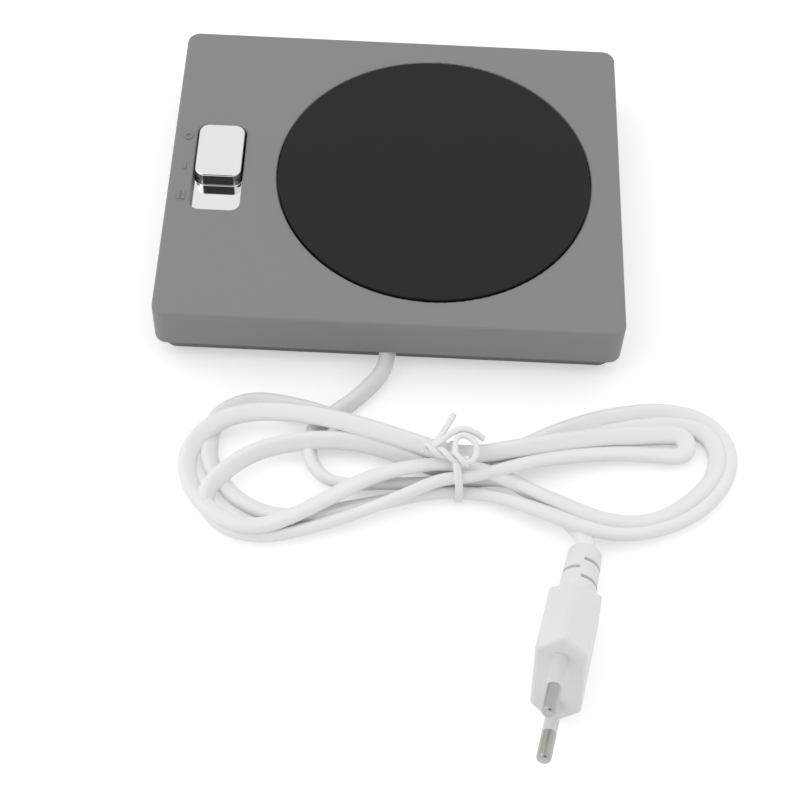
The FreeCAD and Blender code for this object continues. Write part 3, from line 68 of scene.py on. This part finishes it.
def surface(
    name, dark, light, rough, grain_mm, relief_mm, metallic=0.0, stretch=(1, 1, 1), ior=PLASTIC_IOR
):
    """A surface whose colour, gloss and relief vary with a grain of a real size in millimetres.

    A wide soft mottle is added to the grain. Where their mean is high, the surface is lighter and duller."""
    material = bpy.data.materials.new(name)
    material.use_nodes = True
    tree = material.node_tree
    tree.nodes.clear()
    place = add(tree, "ShaderNodeTexCoord", {}).outputs["Object"]
    mapped = add(tree, "ShaderNodeMapping", {"Vector": place, "Scale": stretch}).outputs["Vector"]
    grain_scale = MM_PER_METRE / grain_mm
    mottle_scale = MM_PER_METRE / (MOTTLE_GRAINS * grain_mm)
    grain = add(
        tree, "ShaderNodeTexNoise", {"Vector": mapped, "Scale": grain_scale, "Detail": 3.0, "Roughness": 0.6}
    ).outputs["Fac"]
    mottle = add(
        tree, "ShaderNodeTexNoise", {"Vector": mapped, "Scale": mottle_scale, "Detail": 2.0}
    ).outputs["Fac"]
    both = add(tree, "ShaderNodeMath", {0: grain, 1: mottle}, operation="ADD").outputs["Value"]
    mean = add(tree, "ShaderNodeMath", {0: both, 1: 0.5}, operation="MULTIPLY").outputs["Value"]
    # a colour mix has its share at input 0, its two colours at 6 and 7 and its result at output 2
    colour = add(
        tree, "ShaderNodeMix", {0: mean, 6: linear(dark), 7: linear(light)}, data_type="RGBA"
    ).outputs[2]
    gloss = add(
        tree,
        "ShaderNodeMapRange",
        {
            "Value": mean,
            "From Min": PATTERN_RANGE[0],
            "From Max": PATTERN_RANGE[1],
            "To Min": rough[0],
            "To Max": rough[1],
        },
    ).outputs["Result"]
    relief = {"Height": grain, "Strength": 1.0, "Distance": relief_mm / MM_PER_METRE}
    bump = add(tree, "ShaderNodeBump", relief).outputs["Normal"]
    skin = {"Base Color": colour, "Roughness": gloss, "Normal": bump, "Metallic": metallic}
    if not metallic:
        skin["IOR"] = ior
    shader = add(tree, "ShaderNodeBsdfPrincipled", skin)
    add(tree, "ShaderNodeOutputMaterial", {"Surface": shader.outputs["BSDF"]})
    return material


def dress(material, *nodes):
    """Give CAD pieces their one material."""
    for node in nodes:
        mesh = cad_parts[node].data
        mesh.materials.clear()
        mesh.materials.append(material)
        for face in mesh.polygons:
            face.material_index = 0


# ABS from a spark-eroded mould: an even mid grey with a dull, wide shine. The real grain is about 0.1 mm,
# too fine for the render, and is drawn as coarse as it needs to show.
shell_plastic = surface(
    "grey_abs_spark_textured", "#868686", "#8A8A8A",
    rough=(0.48, 0.6), grain_mm=0.35, relief_mm=0.02,
)
dress(shell_plastic, "top_shell")


# Warming plate
# A round plate of drawn aluminium on which the mug stands. It is sprayed with a black non-stick coating,
# which is baked on, and lies on a ledge in the top shell's opening, a little proud of the case.
COATING_IOR = 1.35  # a fluoropolymer bends light less than other plastics do

# The baked coating: satin black, faintly speckled where its drops ran together.
plate_coat = surface(
    "black_nonstick_baked_on_aluminium", "#151515", "#1B1B1B",
    rough=(0.54, 0.59), grain_mm=0.25, relief_mm=0.012, ior=COATING_IOR,
)
dress(plate_coat, "heating_plate")


# Heating stack
# Under the plate lie a silicone seal, the etched heating foil between two mica sheets, and a pad of ceramic
# felt. A zinc-plated steel plate, held by four screws, clamps them and the shell's ledge together.

# Moulded silicone: dull brick red, its skin soft and even.
red_silicone = surface(
    "red_silicone_seal_moulded", "#5A2018", "#6E2A20",
    rough=(0.6, 0.75), grain_mm=0.4, relief_mm=0.02,
)
dress(red_silicone, "plate_seal")
# Pressed mica: straw coloured and flaky, with flakes of 1.5 mm that shine here and there.
mica = surface(
    "mica_sheet_pressed", "#A89468", "#CDBB90",
    rough=(0.3, 0.5), grain_mm=1.5, relief_mm=0.02,
)
dress(mica, "mica_upper", "mica_lower")
# Pressed ceramic felt: off-white, quite matt, with tufts of 0.5 mm.
ceramic_felt = surface(
    "ceramic_felt_pressed", "#D8D4C8", "#EEEADF",
    rough=(0.9, 1.0), grain_mm=0.5, relief_mm=0.15,
)
dress(ceramic_felt, "insulation_pad")
# Etched nickel-chromium foil: brownish grey, with a soft metal shine.
foil = surface(
    "nickel_chromium_foil_etched", "#7C7870", "#A09A90",
    rough=(0.3, 0.42), grain_mm=0.3, relief_mm=0.004, metallic=1.0,
)
dress(foil, "heating_element")
# Rolled steel sheet, zinc plated: bluish bright grey, with faint streaks the way it was rolled.
zinc_sheet = surface(
    "zinc_plated_steel_rolled", "#8E9196", "#B2B5B9",
    rough=(0.3, 0.45), grain_mm=0.5, relief_mm=0.006, metallic=1.0, stretch=(1, 12, 1),
)
dress(zinc_sheet, "retaining_plate")
# Cold-headed steel screws, zinc plated: a little brighter than the sheet, without streaks.
zinc_screw = surface(
    "zinc_plated_steel_cold_headed", "#9A9DA2", "#BCBFC4",
    rough=(0.25, 0.38), grain_mm=0.3, relief_mm=0.006, metallic=1.0,
)
dress(zinc_screw, "plate_screws")


# Slide button
# A block on a flat skirt that fills the slot from below, moulded in one in ABS, polished and plated with
# chrome. It is pushed onto the switch's actuator and slides with it from O over I to II.

# Bright chrome: nearly a mirror, only softly uneven, as plated plastic is.
button_chrome = surface(
    "chrome_plated_abs_polished", "#E6E7E8", "#ECEDEE",
    rough=(0.06, 0.1), grain_mm=1.2, relief_mm=0.002, metallic=1.0,
)
dress(button_chrome, "slide_button")


# Slide guide and switch
# A black nylon tray, screwed under the shell, carries the button's skirt. The switch below it has a steel
# frame, a phenolic base with brass terminals, and an actuator with a brass contact, a ball and a spring.

# Moulded nylon: black, with the slight gloss of parts that slide.
black_nylon = surface(
    "black_nylon_moulded", "#131313", "#1E1E1E",
    rough=(0.35, 0.5), grain_mm=0.5, relief_mm=0.01,
)
dress(black_nylon, "slide_guide", "switch_actuator")
dress(zinc_sheet, "switch_frame")
# Moulded phenolic resin: deep brown and smooth, with a hard satin shine.
phenolic = surface(
    "brown_phenolic_moulded", "#2A1A12", "#38241A",
    rough=(0.4, 0.55), grain_mm=0.6, relief_mm=0.01,
)
dress(phenolic, "switch_base")
# Stamped brass strip: warm yellow, with fine streaks from front to back, the way it was rolled.
brass = surface(
    "brass_stamped", "#A88444", "#CDA862",
    rough=(0.25, 0.38), grain_mm=0.5, relief_mm=0.006, metallic=1.0, stretch=(12, 1, 1),
)
dress(brass, "switch_terminals", "moving_contact")
# Drawn spring steel: cool grey and rather bright.
spring_steel = surface(
    "spring_steel_drawn", "#8C8E92", "#B0B2B6",
    rough=(0.2, 0.3), grain_mm=0.2, relief_mm=0.004, metallic=1.0,
)
dress(spring_steel, "detent_ball", "detent_spring")
dress(zinc_screw, "guide_screws", "switch_screws")


# Thermostat and fuse
# The thermostat is an aluminium cup on a phenolic body with brass tabs, screwed to the retaining plate. The
# thermal fuse beside it lies in a braided glass sleeve under a steel clip.

dress(phenolic, "thermostat_body")
# Drawn aluminium: pale grey, with a soft even shine.
cup_metal = surface(
    "aluminium_drawn_cup", "#B8B9BB", "#D2D3D5",
    rough=(0.28, 0.4), grain_mm=0.4, relief_mm=0.006, metallic=1.0,
)
dress(cup_metal, "thermostat_cap")
dress(brass, "thermostat_terminals")
dress(zinc_screw, "thermostat_screws")
# Tinned copper: silver grey, smooth from drawing.
tinned_copper = surface(
    "tinned_copper_drawn", "#A4A5A6", "#C6C7C8",
    rough=(0.25, 0.4), grain_mm=0.4, relief_mm=0.005, metallic=1.0,
)
dress(tinned_copper, "thermal_fuse")
# Braided glass fibre: cream and matt, its threads 0.35 mm wide and lying mostly round the sleeve.
glass_braid = surface(
    "glass_fibre_sleeve_braided", "#CFCBC0", "#E8E5DC",
    rough=(0.7, 0.85), grain_mm=0.35, relief_mm=0.08, stretch=(1, 3, 1),
)
dress(glass_braid, "fuse_sleeve")
dress(zinc_sheet, "fuse_clip")


# Inner wiring
# Stranded copper wires in PVC, brown on the live side and blue on the neutral, joined by tinned crimps. The
# diode, in moulded epoxy, halves the power at I.

# Extruded PVC: a clear colour with a smooth satin skin.
brown_wire = surface(
    "brown_pvc_extruded", "#4A2A1A", "#5C3624",
    rough=(0.35, 0.5), grain_mm=0.5, relief_mm=0.008,
)
dress(brown_wire, "live_wire", "switch_wire", "thermostat_wire", "element_wire")
blue_wire = surface(
    "blue_pvc_extruded", "#1B4C8C", "#265EA4",
    rough=(0.35, 0.5), grain_mm=0.5, relief_mm=0.008,
)
dress(blue_wire, "neutral_wire")
dress(tinned_copper, "crimp_connectors")
# Moulded epoxy: deep black, a little glossier than the nylon.
black_epoxy = surface(
    "black_epoxy_moulded", "#0E0E0E", "#1A1A1A",
    rough=(0.3, 0.42), grain_mm=0.4, relief_mm=0.008,
)
dress(black_epoxy, "diode")


# Bottom cover and clamp
# The case's lower half, moulded in ABS and screwed on from below. It is drawn in a darker grey than the
# shell, as painted shade for the thin strip seen under the front lip. Inside, a nylon clamp with two screws
# holds the lead.

# The shell's plastic and grain in a darker tone: painted shade for the strip under the front lip.
cover_plastic_with_painted_shade = surface(
    "grey_abs_spark_textured_painted_shade", "#686868", "#6E6E6E",
    rough=(0.5, 0.62), grain_mm=0.35, relief_mm=0.02,
)
dress(cover_plastic_with_painted_shade, "bottom_cover")
dress(black_nylon, "cord_clamp")
dress(zinc_screw, "clamp_screws", "case_screws")


# Feet
# Four discs of black nitrile rubber, moulded and glued into shallow recesses under the bottom cover, one
# near each corner.

# Nitrile rubber: charcoal and quite matt, as if a little dusty.
foot_rubber = surface(
    "black_nitrile_rubber_moulded", "#161616", "#242424",
    rough=(0.75, 0.9), grain_mm=0.4, relief_mm=0.03,
)
for corner in ("rear_right", "front_right", "rear_left", "front_left"):
    dress(foot_rubber, f"foot_{corner}")


# Lead and hank
# A flat two-core lead, extruded in soft white PVC. It leaves under the front lip, lies in loose turns on
# each side of the tie, over and under itself, and runs out under the right turns to the plug.
CORD_WIDTH = 0.0056
CORD_THICKNESS = 0.0035
END_POINTS = 9  # points on each half-round end of the lead's outline
ROLL_REACH = 12  # a roll is averaged over this many points to each side
# each point is a place in metres and a roll in degrees: 0 lies flat and 90 stands on edge
cord_route = [
    # out of the case and under the left turns
    (0.0003, -0.0510, 0.0044, 60),
    (0.0003, -0.0579, 0.0043, 60),
    (-0.0018, -0.0646, 0.0036, 60),
    (-0.0093, -0.0735, 0.0030, 60),
    (-0.0154, -0.0785, 0.0028, 60),
    (-0.0212, -0.0849, 0.0028, 60),
    (-0.0216, -0.0935, 0.0028, 60),
    (-0.0172, -0.1005, 0.0028, 60),
    (-0.0096, -0.1025, 0.0028, 60),
    (-0.0010, -0.1015, 0.0028, 60),
    (0.0110, -0.1009, 0.0029, 60),
    # through the tie
    (0.0170, -0.1003, 0.0029, 80),
    (0.0260, -0.0995, 0.0029, 80),
    # inner right turn
    (0.0359, -0.0988, 0.0040, 35),
    (0.0496, -0.1064, 0.0059, 35),
    (0.0623, -0.1117, 0.0054, 35),
    (0.0721, -0.1115, 0.0034, 35),
    (0.0819, -0.1086, 0.0025, 35),
    (0.0941, -0.0983, 0.0025, 35),
    (0.0983, -0.0889, 0.0025, 35),
    (0.0965, -0.0804, 0.0025, 35),
    (0.0901, -0.0769, 0.0025, 35),
    (0.0769, -0.0776, 0.0026, 35),
    (0.0620, -0.0819, 0.0028, 35),
    (0.0460, -0.0885, 0.0028, 35),
    (0.0340, -0.0919, 0.0029, 35),
    # through the tie
    (0.0260, -0.0927, 0.0029, 80),
    (0.0170, -0.0925, 0.0029, 80),
    # lowest left turn
    (0.0080, -0.0896, 0.0032, 30),
    (-0.0080, -0.0844, 0.0052, 30),
    (-0.0179, -0.0803, 0.0056, 30),
    (-0.0280, -0.0763, 0.0034, 30),
    (-0.0365, -0.0745, 0.0024, 30),
    (-0.0425, -0.0756, 0.0024, 30),
    (-0.0493, -0.0803, 0.0024, 30),
    (-0.0509, -0.0883, 0.0024, 30),
    (-0.0501, -0.0967, 0.0024, 30),
    (-0.0460, -0.1034, 0.0024, 30),
    (-0.0396, -0.1099, 0.0024, 30),
    (-0.0306, -0.1135, 0.0024, 30),
    (-0.0220, -0.1132, 0.0024, 30),
    (-0.0090, -0.1101, 0.0024, 30),
    (0.0070, -0.1059, 0.0029, 30),
    # through the tie
    (0.0170, -0.1034, 0.0030, 80),
    (0.0260, -0.1034, 0.0030, 80),
    # outer right turn
    (0.0338, -0.1049, 0.0040, 35),
    (0.0464, -0.1104, 0.0062, 35),
    (0.0590, -0.1155, 0.0059, 35),
    (0.0719, -0.1155, 0.0034, 35),
    (0.0883, -0.1090, 0.0025, 35),
    (0.0986, -0.0981, 0.0025, 35),
    (0.1020, -0.0864, 0.0025, 35),
    (0.0968, -0.0756, 0.0025, 35),
    (0.0838, -0.0716, 0.0025, 35),
    (0.0671, -0.0745, 0.0026, 35),
    (0.0535, -0.0806, 0.0040, 35),
    (0.0418, -0.0875, 0.0046, 35),
    (0.0330, -0.0939, 0.0036, 35),
    # through the tie
    (0.0260, -0.0962, 0.0029, 80),
    (0.0170, -0.0962, 0.0029, 80),
    # inner left turn
    (0.0085, -0.0937, 0.0044, 50),
    (-0.0056, -0.0892, 0.0054, 50),
    (-0.0204, -0.0893, 0.0060, 50),
    (-0.0350, -0.0925, 0.0048, 50),
    (-0.0432, -0.0991, 0.0056, 50),
    (-0.0504, -0.1075, 0.0050, 50),
    (-0.0486, -0.1143, 0.0028, 50),
    (-0.0426, -0.1191, 0.0027, 50),
    (-0.0358, -0.1206, 0.0027, 50),
    (-0.0272, -0.1198, 0.0027, 50),
    (-0.0102, -0.1141, 0.0040, 50),
    (0.0050, -0.1084, 0.0070, 50),
    # through the tie
    (0.0168, -0.1025, 0.0086, 80),
    (0.0257, -0.1017, 0.0086, 80),
    # tight right fold, near its edge
    (0.0400, -0.0953, 0.0072, 35),
    (0.0538, -0.0906, 0.0050, 35),
    (0.0659, -0.0882, 0.0036, 35),
    (0.0750, -0.0877, 0.0030, 35),
    (0.0805, -0.0878, 0.0030, 25),
    (0.0838, -0.0879, 0.0030, 20),
    (0.0868, -0.0878, 0.0030, 20),
    (0.0889, -0.0857, 0.0030, 20),
    (0.0889, -0.0827, 0.0030, 20),
    (0.0868, -0.0806, 0.0030, 20),
    (0.0838, -0.0806, 0.0031, 20),
    (0.0805, -0.0809, 0.0032, 25),
    (0.0749, -0.0819, 0.0038, 35),
    (0.0657, -0.0830, 0.0048, 35),
    (0.0532, -0.0863, 0.0066, 35),
    (0.0399, -0.0904, 0.0080, 35),
    # through the tie
    (0.0267, -0.0942, 0.0086, 75),
    (0.0168, -0.0935, 0.0086, 75),
    # top left turn
    (0.0079, -0.0904, 0.0086, 30),
    (-0.0027, -0.0872, 0.0089, 30),
    (-0.0177, -0.0833, 0.0094, 30),
    (-0.0358, -0.0808, 0.0074, 30),
    (-0.0476, -0.0834, 0.0060, 30),
    (-0.0558, -0.0912, 0.0042, 30),
    (-0.0566, -0.1012, 0.0034, 30),
    (-0.0509, -0.1117, 0.0044, 30),
    (-0.0415, -0.1187, 0.0058, 30),
    (-0.0329, -0.1194, 0.0060, 30),
    (-0.0245, -0.1155, 0.0062, 30),
    (-0.0134, -0.1086, 0.0069, 30),
    (-0.0029, -0.1024, 0.0082, 30),
    (0.0079, -0.0992, 0.0090, 30),
    # through the tie
    (0.0168, -0.0975, 0.0087, 60),
    (0.0257, -0.0980, 0.0084, 60),
    # out to the plug
    (0.0350, -0.0996, 0.0062, 20),
    (0.0420, -0.1017, 0.0034, 20),
    (0.0486, -0.1049, 0.0022, 20),
    (0.0527, -0.1097, 0.0022, 20),
    (0.0563, -0.1143, 0.0034, 20),
    (0.0581, -0.1182, 0.0050, 20),
    (0.0584, -0.1222, 0.0060, 20),
]


def flat_outline(width, thickness):
    """The outline of a flat lead: two half rounds joined by straight sides."""
    radius, reach = thickness / 2, (width - thickness) / 2
    outline = []
    for side in (1, -1):
        for step in range(END_POINTS):
            angle = math.pi * (step / (END_POINTS - 1) - 0.5)
            outline.append((side * (reach + radius * math.cos(angle)), side * radius * math.sin(angle)))
    return outline


def smooth_line(route, steps):
    """The points of a smooth spline that the route's points steer, with so many steps to each of them."""
    curve = bpy.data.curves.new("route", "CURVE")
    curve.dimensions = "3D"
    curve.resolution_u = steps
    spline = curve.splines.new("NURBS")
    spline.points.add(len(route) - 1)
    for point, place in zip(spline.points, route):
        point.co = (*place, 1)
    spline.order_u = 3
    spline.use_endpoint_u = True
    holder = bpy.data.objects.new("route", curve)
    mesh = bpy.data.meshes.new_from_object(holder)
    points = [vertex.co.copy() for vertex in mesh.vertices]
    bpy.data.objects.remove(holder)
    bpy.data.curves.remove(curve)
    bpy.data.meshes.remove(mesh)
    return points


def heading(line, index):
    """The direction in which a line runs at one of its points."""
    return (line[min(index + 1, len(line) - 1)] - line[max(index - 1, 0)]).normalized()


def rings_along(line, outline, rolls=None):
    """The outline, in (across, up) pairs, set up at each point of a line and turned by the roll there."""
    rings = []
    for index, place in enumerate(line):
        ahead = heading(line, index)
        across = ahead.cross(Vector((0, 0, 1))).normalized()
        above = across.cross(ahead).normalized()
        roll = rolls[index] if rolls else 0.0
        wide = across * math.cos(roll) + above * math.sin(roll)
        thick = above * math.cos(roll) - across * math.sin(roll)
        rings.append([place + wide * a + thick * b for a, b in outline])
    return rings


def skin_over(name, rings, material):
    """A new piece on the housing: a closed skin over rings of points."""
    sides = len(rings[0])
    faces = []
    for start in range(0, (len(rings) - 1) * sides, sides):
        for side in range(sides):
            a, b = start + side, start + (side + 1) % sides
            faces.append((a, b, b + sides, a + sides))
    last = (len(rings) - 1) * sides
    faces += [tuple(range(sides)), tuple(reversed(range(last, last + sides)))]
    mesh = bpy.data.meshes.new(name)
    mesh.from_pydata([point for ring in rings for point in ring], [], faces)
    mesh.update()
    mesh.shade_smooth()
    mesh.materials.append(material)
    piece = bpy.data.objects.new(name, mesh)
    bpy.context.collection.objects.link(piece)
    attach(piece, "housing")
    return piece


cord_line = smooth_line([point[:3] for point in cord_route], steps=8)
route_rolls = []
for index in range(len(cord_line)):
    share = index * (len(cord_route) - 1) / (len(cord_line) - 1)
    first = min(int(share), len(cord_route) - 2)
    near, far = cord_route[first][3], cord_route[first + 1][3]
    route_rolls.append(math.radians(near + (far - near) * (share - first)))
cord_rolls = []
for index in range(len(route_rolls)):
    around = route_rolls[max(0, index - ROLL_REACH) : index + ROLL_REACH + 1]
    cord_rolls.append(sum(around) / len(around))

# Extruded PVC: soft white with a dull shine. The fine unevenness of its skin is drawn 0.8 mm wide, so that
# it shows.
cord_vinyl = surface(
    "white_pvc_extruded_satin", "#F0F0F0", "#F6F6F6",
    rough=(0.4, 0.52), grain_mm=0.8, relief_mm=0.01,
)
cord_rings = rings_along(cord_line, flat_outline(CORD_WIDTH, CORD_THICKNESS), cord_rolls)
cord = skin_over("cord", cord_rings, cord_vinyl)
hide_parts("cord_lead", "cord_hank", "cord_tail")
dress(cord_vinyl, "cord_inner")


# Tie
# A strip of soft white PVC, laid round the waist of the hank and twisted together on top. Its two ends stand
# out as a straight and a curved tail, beside a small loop.
BAND_HALF_WIDTH = 0.00115
BAND_HALF_THICKNESS = 0.0006
BAND_LEAN = Vector((1, 0.1, 0)).normalized()  # the band's width lies along this, wherever the band turns
STRAND_RADIUS = 0.00085
STRAND_SIDES = 8
TWIST_TURNS = 1.6
TWIST_STEPS = 21
TAIL_HALF_WIDTH = 0.0008
TAIL_HALF_THICKNESS = 0.0007
band_corners = [
    (1, 0), (0.95, 0.7), (0.6, 1), (-0.6, 1), (-0.95, 0.7),
    (-1, 0), (-0.95, -0.7), (-0.6, -1), (0.6, -1), (0.95, -0.7),
]
tail_corners = [(1, 0.6), (0.7, 1), (-0.7, 1), (-1, 0.6), (-1, -0.6), (-0.7, -1), (0.7, -1), (1, -0.6)]
band_route = [
    (0.0222, -0.1052, 0.0018), (0.0224, -0.1064, 0.0050), (0.0221, -0.1055, 0.0098),
    (0.0213, -0.1020, 0.0127), (0.0207, -0.0980, 0.0136), (0.0203, -0.0935, 0.0130),
    (0.0200, -0.0906, 0.0098), (0.0203, -0.0896, 0.0055), (0.0208, -0.0904, 0.0020),
    (0.0215, -0.0980, 0.0008), (0.0222, -0.1052, 0.0018),
]
knot_start = Vector((0.0118, -0.0958, 0.0142))
knot_end = Vector((0.0245, -0.1000, 0.0142))
loose_routes = {
    "tie_tail_long": [
        (0.0135, -0.0975, 0.0140), (0.0150, -0.0943, 0.0146), (0.0175, -0.0898, 0.0150),
        (0.0199, -0.0843, 0.0142),
    ],
    "tie_tail_curved": [
        (0.0128, -0.0960, 0.0142), (0.0150, -0.0954, 0.0146), (0.0191, -0.0913, 0.0155),
        (0.0225, -0.0895, 0.0155), (0.0261, -0.0900, 0.0146), (0.0288, -0.0912, 0.0128),
    ],
    "tie_loop": [
        (0.0205, -0.0985, 0.0146), (0.0202, -0.0930, 0.0150), (0.0226, -0.0912, 0.0152),
        (0.0262, -0.0932, 0.0150), (0.0268, -0.0968, 0.0146), (0.0256, -0.1000, 0.0142),
        (0.0223, -0.1008, 0.0142),
    ],
}


def band_rings(line, outline):
    """The outline set up at each point of the band, whose width doesn't turn with it."""
    rings = []
    for index, place in enumerate(line):
        ahead = heading(line, index)
        above = ahead.cross(BAND_LEAN).normalized()
        across = above.cross(ahead).normalized()
        rings.append([place + across * a + above * b for a, b in outline])
    return rings


# Moulded PVC: the lead's white, a little duller in places.
tie_plastic = surface(
    "white_pvc_tie_moulded", "#F0F0F0", "#F6F6F6",
    rough=(0.4, 0.55), grain_mm=0.5, relief_mm=0.02,
)
band_outline = [(x * BAND_HALF_WIDTH, y * BAND_HALF_THICKNESS) for x, y in band_corners]
tie = skin_over("tie_band", band_rings(smooth_line(band_route, steps=8), band_outline), tie_plastic)
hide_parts("cord_tie")

# the knot: two strands that run round one middle line
round_angles = [2 * math.pi * side / STRAND_SIDES for side in range(STRAND_SIDES)]
strand_outline = [(STRAND_RADIUS * math.cos(a), STRAND_RADIUS * math.sin(a)) for a in round_angles]
sideways = Vector((0.3, 0.95, 0)) * STRAND_RADIUS
upward = Vector((0, 0, 1)) * STRAND_RADIUS
for strand in range(2):
    twisted = []
    for step in range(TWIST_STEPS + 1):
        share = step / TWIST_STEPS
        angle = 2 * math.pi * TWIST_TURNS * share + math.pi * strand
        off = sideways * math.cos(angle) + upward * math.sin(angle)
        twisted.append(knot_start.lerp(knot_end, share) + off)
    rings = rings_along(smooth_line(twisted, steps=4), strand_outline)
    skin_over(f"tie_knot_{strand}", rings, tie_plastic)

tail_outline = [(x * TAIL_HALF_WIDTH, y * TAIL_HALF_THICKNESS) for x, y in tail_corners]
for name, route in loose_routes.items():
    rings = rings_along(smooth_line(route, steps=8), tail_outline)
    skin_over(name, rings, tie_plastic)


# Plug
# One flat moulding of white PVC over the lead's end, with its slotted strain relief. It holds two turned
# brass pins, nickel plated, whose roots have insulating sleeves moulded on.

# Moulded PVC: the lead's white, a shade darker and duller.
plug_vinyl = surface(
    "white_pvc_moulded_plug", "#E6E6E6", "#EDEDED",
    rough=(0.42, 0.55), grain_mm=0.6, relief_mm=0.015,
)
dress(plug_vinyl, "plug_body")
# Nickel on turned brass: warm silver, with faint streaks along the pin.
pin_nickel = surface(
    "nickel_plated_brass_turned", "#9A9894", "#C4C2BE",
    rough=(0.22, 0.34), grain_mm=0.2, relief_mm=0.004, metallic=1.0, stretch=(1, 1, 4),
)
dress(pin_nickel, "plug_pins")
# Moulded nylon: light grey-white, smoother than the body.
white_nylon = surface(
    "white_nylon_sleeve_moulded", "#D4D4D4", "#DEDEDE",
    rough=(0.35, 0.45), grain_mm=0.5, relief_mm=0.01,
)
dress(white_nylon, "pin_sleeves")


# Table
# A flat table under a white paper backdrop. The paper glows a little where it is looked at, so that it is
# white right up to the faint shadow of the object.
TABLE_REACH = 4.0
PAPER_GLOW = 0.42
PAPER_WHITE = (0.8, 0.8, 0.8, 1)
near_left, near_right = (-TABLE_REACH, -TABLE_REACH, 0), (TABLE_REACH, -TABLE_REACH, 0)
far_right, far_left = (TABLE_REACH, TABLE_REACH, 0), (-TABLE_REACH, TABLE_REACH, 0)
table_mesh = bpy.data.meshes.new("floor")
table_mesh.from_pydata([near_left, near_right, far_right, far_left], [], [(0, 1, 2, 3)])
table = bpy.data.objects.new("floor", table_mesh)
bpy.context.collection.objects.link(table)
backdrop = bpy.data.materials.new("white_paper_backdrop")
backdrop.use_nodes = True
paper = backdrop.node_tree
paper.nodes.clear()
ray = add(paper, "ShaderNodeLightPath", {}).outputs
seen = add(
    paper, "ShaderNodeMath", {0: ray["Is Camera Ray"], 1: ray["Is Glossy Ray"]}, operation="MAXIMUM"
).outputs["Value"]
seen_through = add(
    paper, "ShaderNodeMath", {0: seen, 1: ray["Is Transmission Ray"]}, operation="MAXIMUM"
).outputs["Value"]
glow = add(paper, "ShaderNodeEmission", {"Color": (1, 1, 1, 1), "Strength": PAPER_GLOW}).outputs["Emission"]
matt = add(paper, "ShaderNodeBsdfDiffuse", {"Color": PAPER_WHITE}).outputs["BSDF"]
glowing = add(paper, "ShaderNodeAddShader", {0: glow, 1: matt}).outputs["Shader"]
choice = add(paper, "ShaderNodeMixShader", {0: seen_through, 1: matt, 2: glowing}).outputs["Shader"]
add(paper, "ShaderNodeOutputMaterial", {"Surface": choice})
table_mesh.materials.append(backdrop)


# Light
# An even white tent stands round the object. Its open front, where the photographer stands, is dark, which
# gives the chrome its dark edge. One soft lamp shines in from the left.
TENT_STRENGTH = 0.96
OPENING_TOWARD = (0.0, -0.64, 0.768)  # forward and up from the object, one long
OPENING_COSINES = (0.90, 0.95)  # the tent fades out where its direction makes angles with these cosines
OPENING_LEVEL = 0.04
LAMP_SIDE = 1.2
LAMP_WATTS = 2.5
LAMP_PLACE = (-1.0, -0.1, 0.9)
scene = bpy.context.scene
tent = bpy.data.worlds.new("tent")
scene.world = tent
tent.use_nodes = True
sky = tent.node_tree
toward = add(sky, "ShaderNodeTexCoord", {}).outputs["Generated"]
front = add(
    sky, "ShaderNodeVectorMath", {0: toward, 1: OPENING_TOWARD}, operation="DOT_PRODUCT"
).outputs["Value"]
brightness = add(
    sky,
    "ShaderNodeMapRange",
    {
        "Value": front,
        "From Min": OPENING_COSINES[0],
        "From Max": OPENING_COSINES[1],
        "To Min": 1.0,
        "To Max": OPENING_LEVEL,
    },
).outputs["Result"]
background = sky.nodes["Background"]
background.inputs["Strength"].default_value = TENT_STRENGTH
sky.links.new(brightness, background.inputs["Color"])

lamp = bpy.data.objects.new("key", bpy.data.lights.new("key", "AREA"))
lamp.data.size = LAMP_SIDE
lamp.data.energy = LAMP_WATTS
lamp.location = LAMP_PLACE
lamp.rotation_euler = (-lamp.location).to_track_quat("-Z", "Y").to_euler()
bpy.context.collection.objects.link(lamp)


# Camera
# It stands where the photograph was taken from, in front of the object and above it, with an ordinary short
# telephoto lens. Its place and angles were worked out from the case's corners.
CAMERA_PLACE = (0.00099, -0.3732, 0.4450)
CAMERA_DEGREES = (34.2095, -1.7573, 1.9426)
LENS_MM = 81.1
SENSOR_MM = 36.0
NEAREST_SEEN = 0.01
camera = bpy.data.objects.new("camera", bpy.data.cameras.new("camera"))
camera.location = CAMERA_PLACE
camera.rotation_euler = [math.radians(angle) for angle in CAMERA_DEGREES]
camera.data.lens = LENS_MM
camera.data.sensor_width = SENSOR_MM
camera.data.clip_start = NEAREST_SEEN
bpy.context.collection.objects.link(camera)
scene.camera = camera
scene.view_settings.view_transform = "Standard"
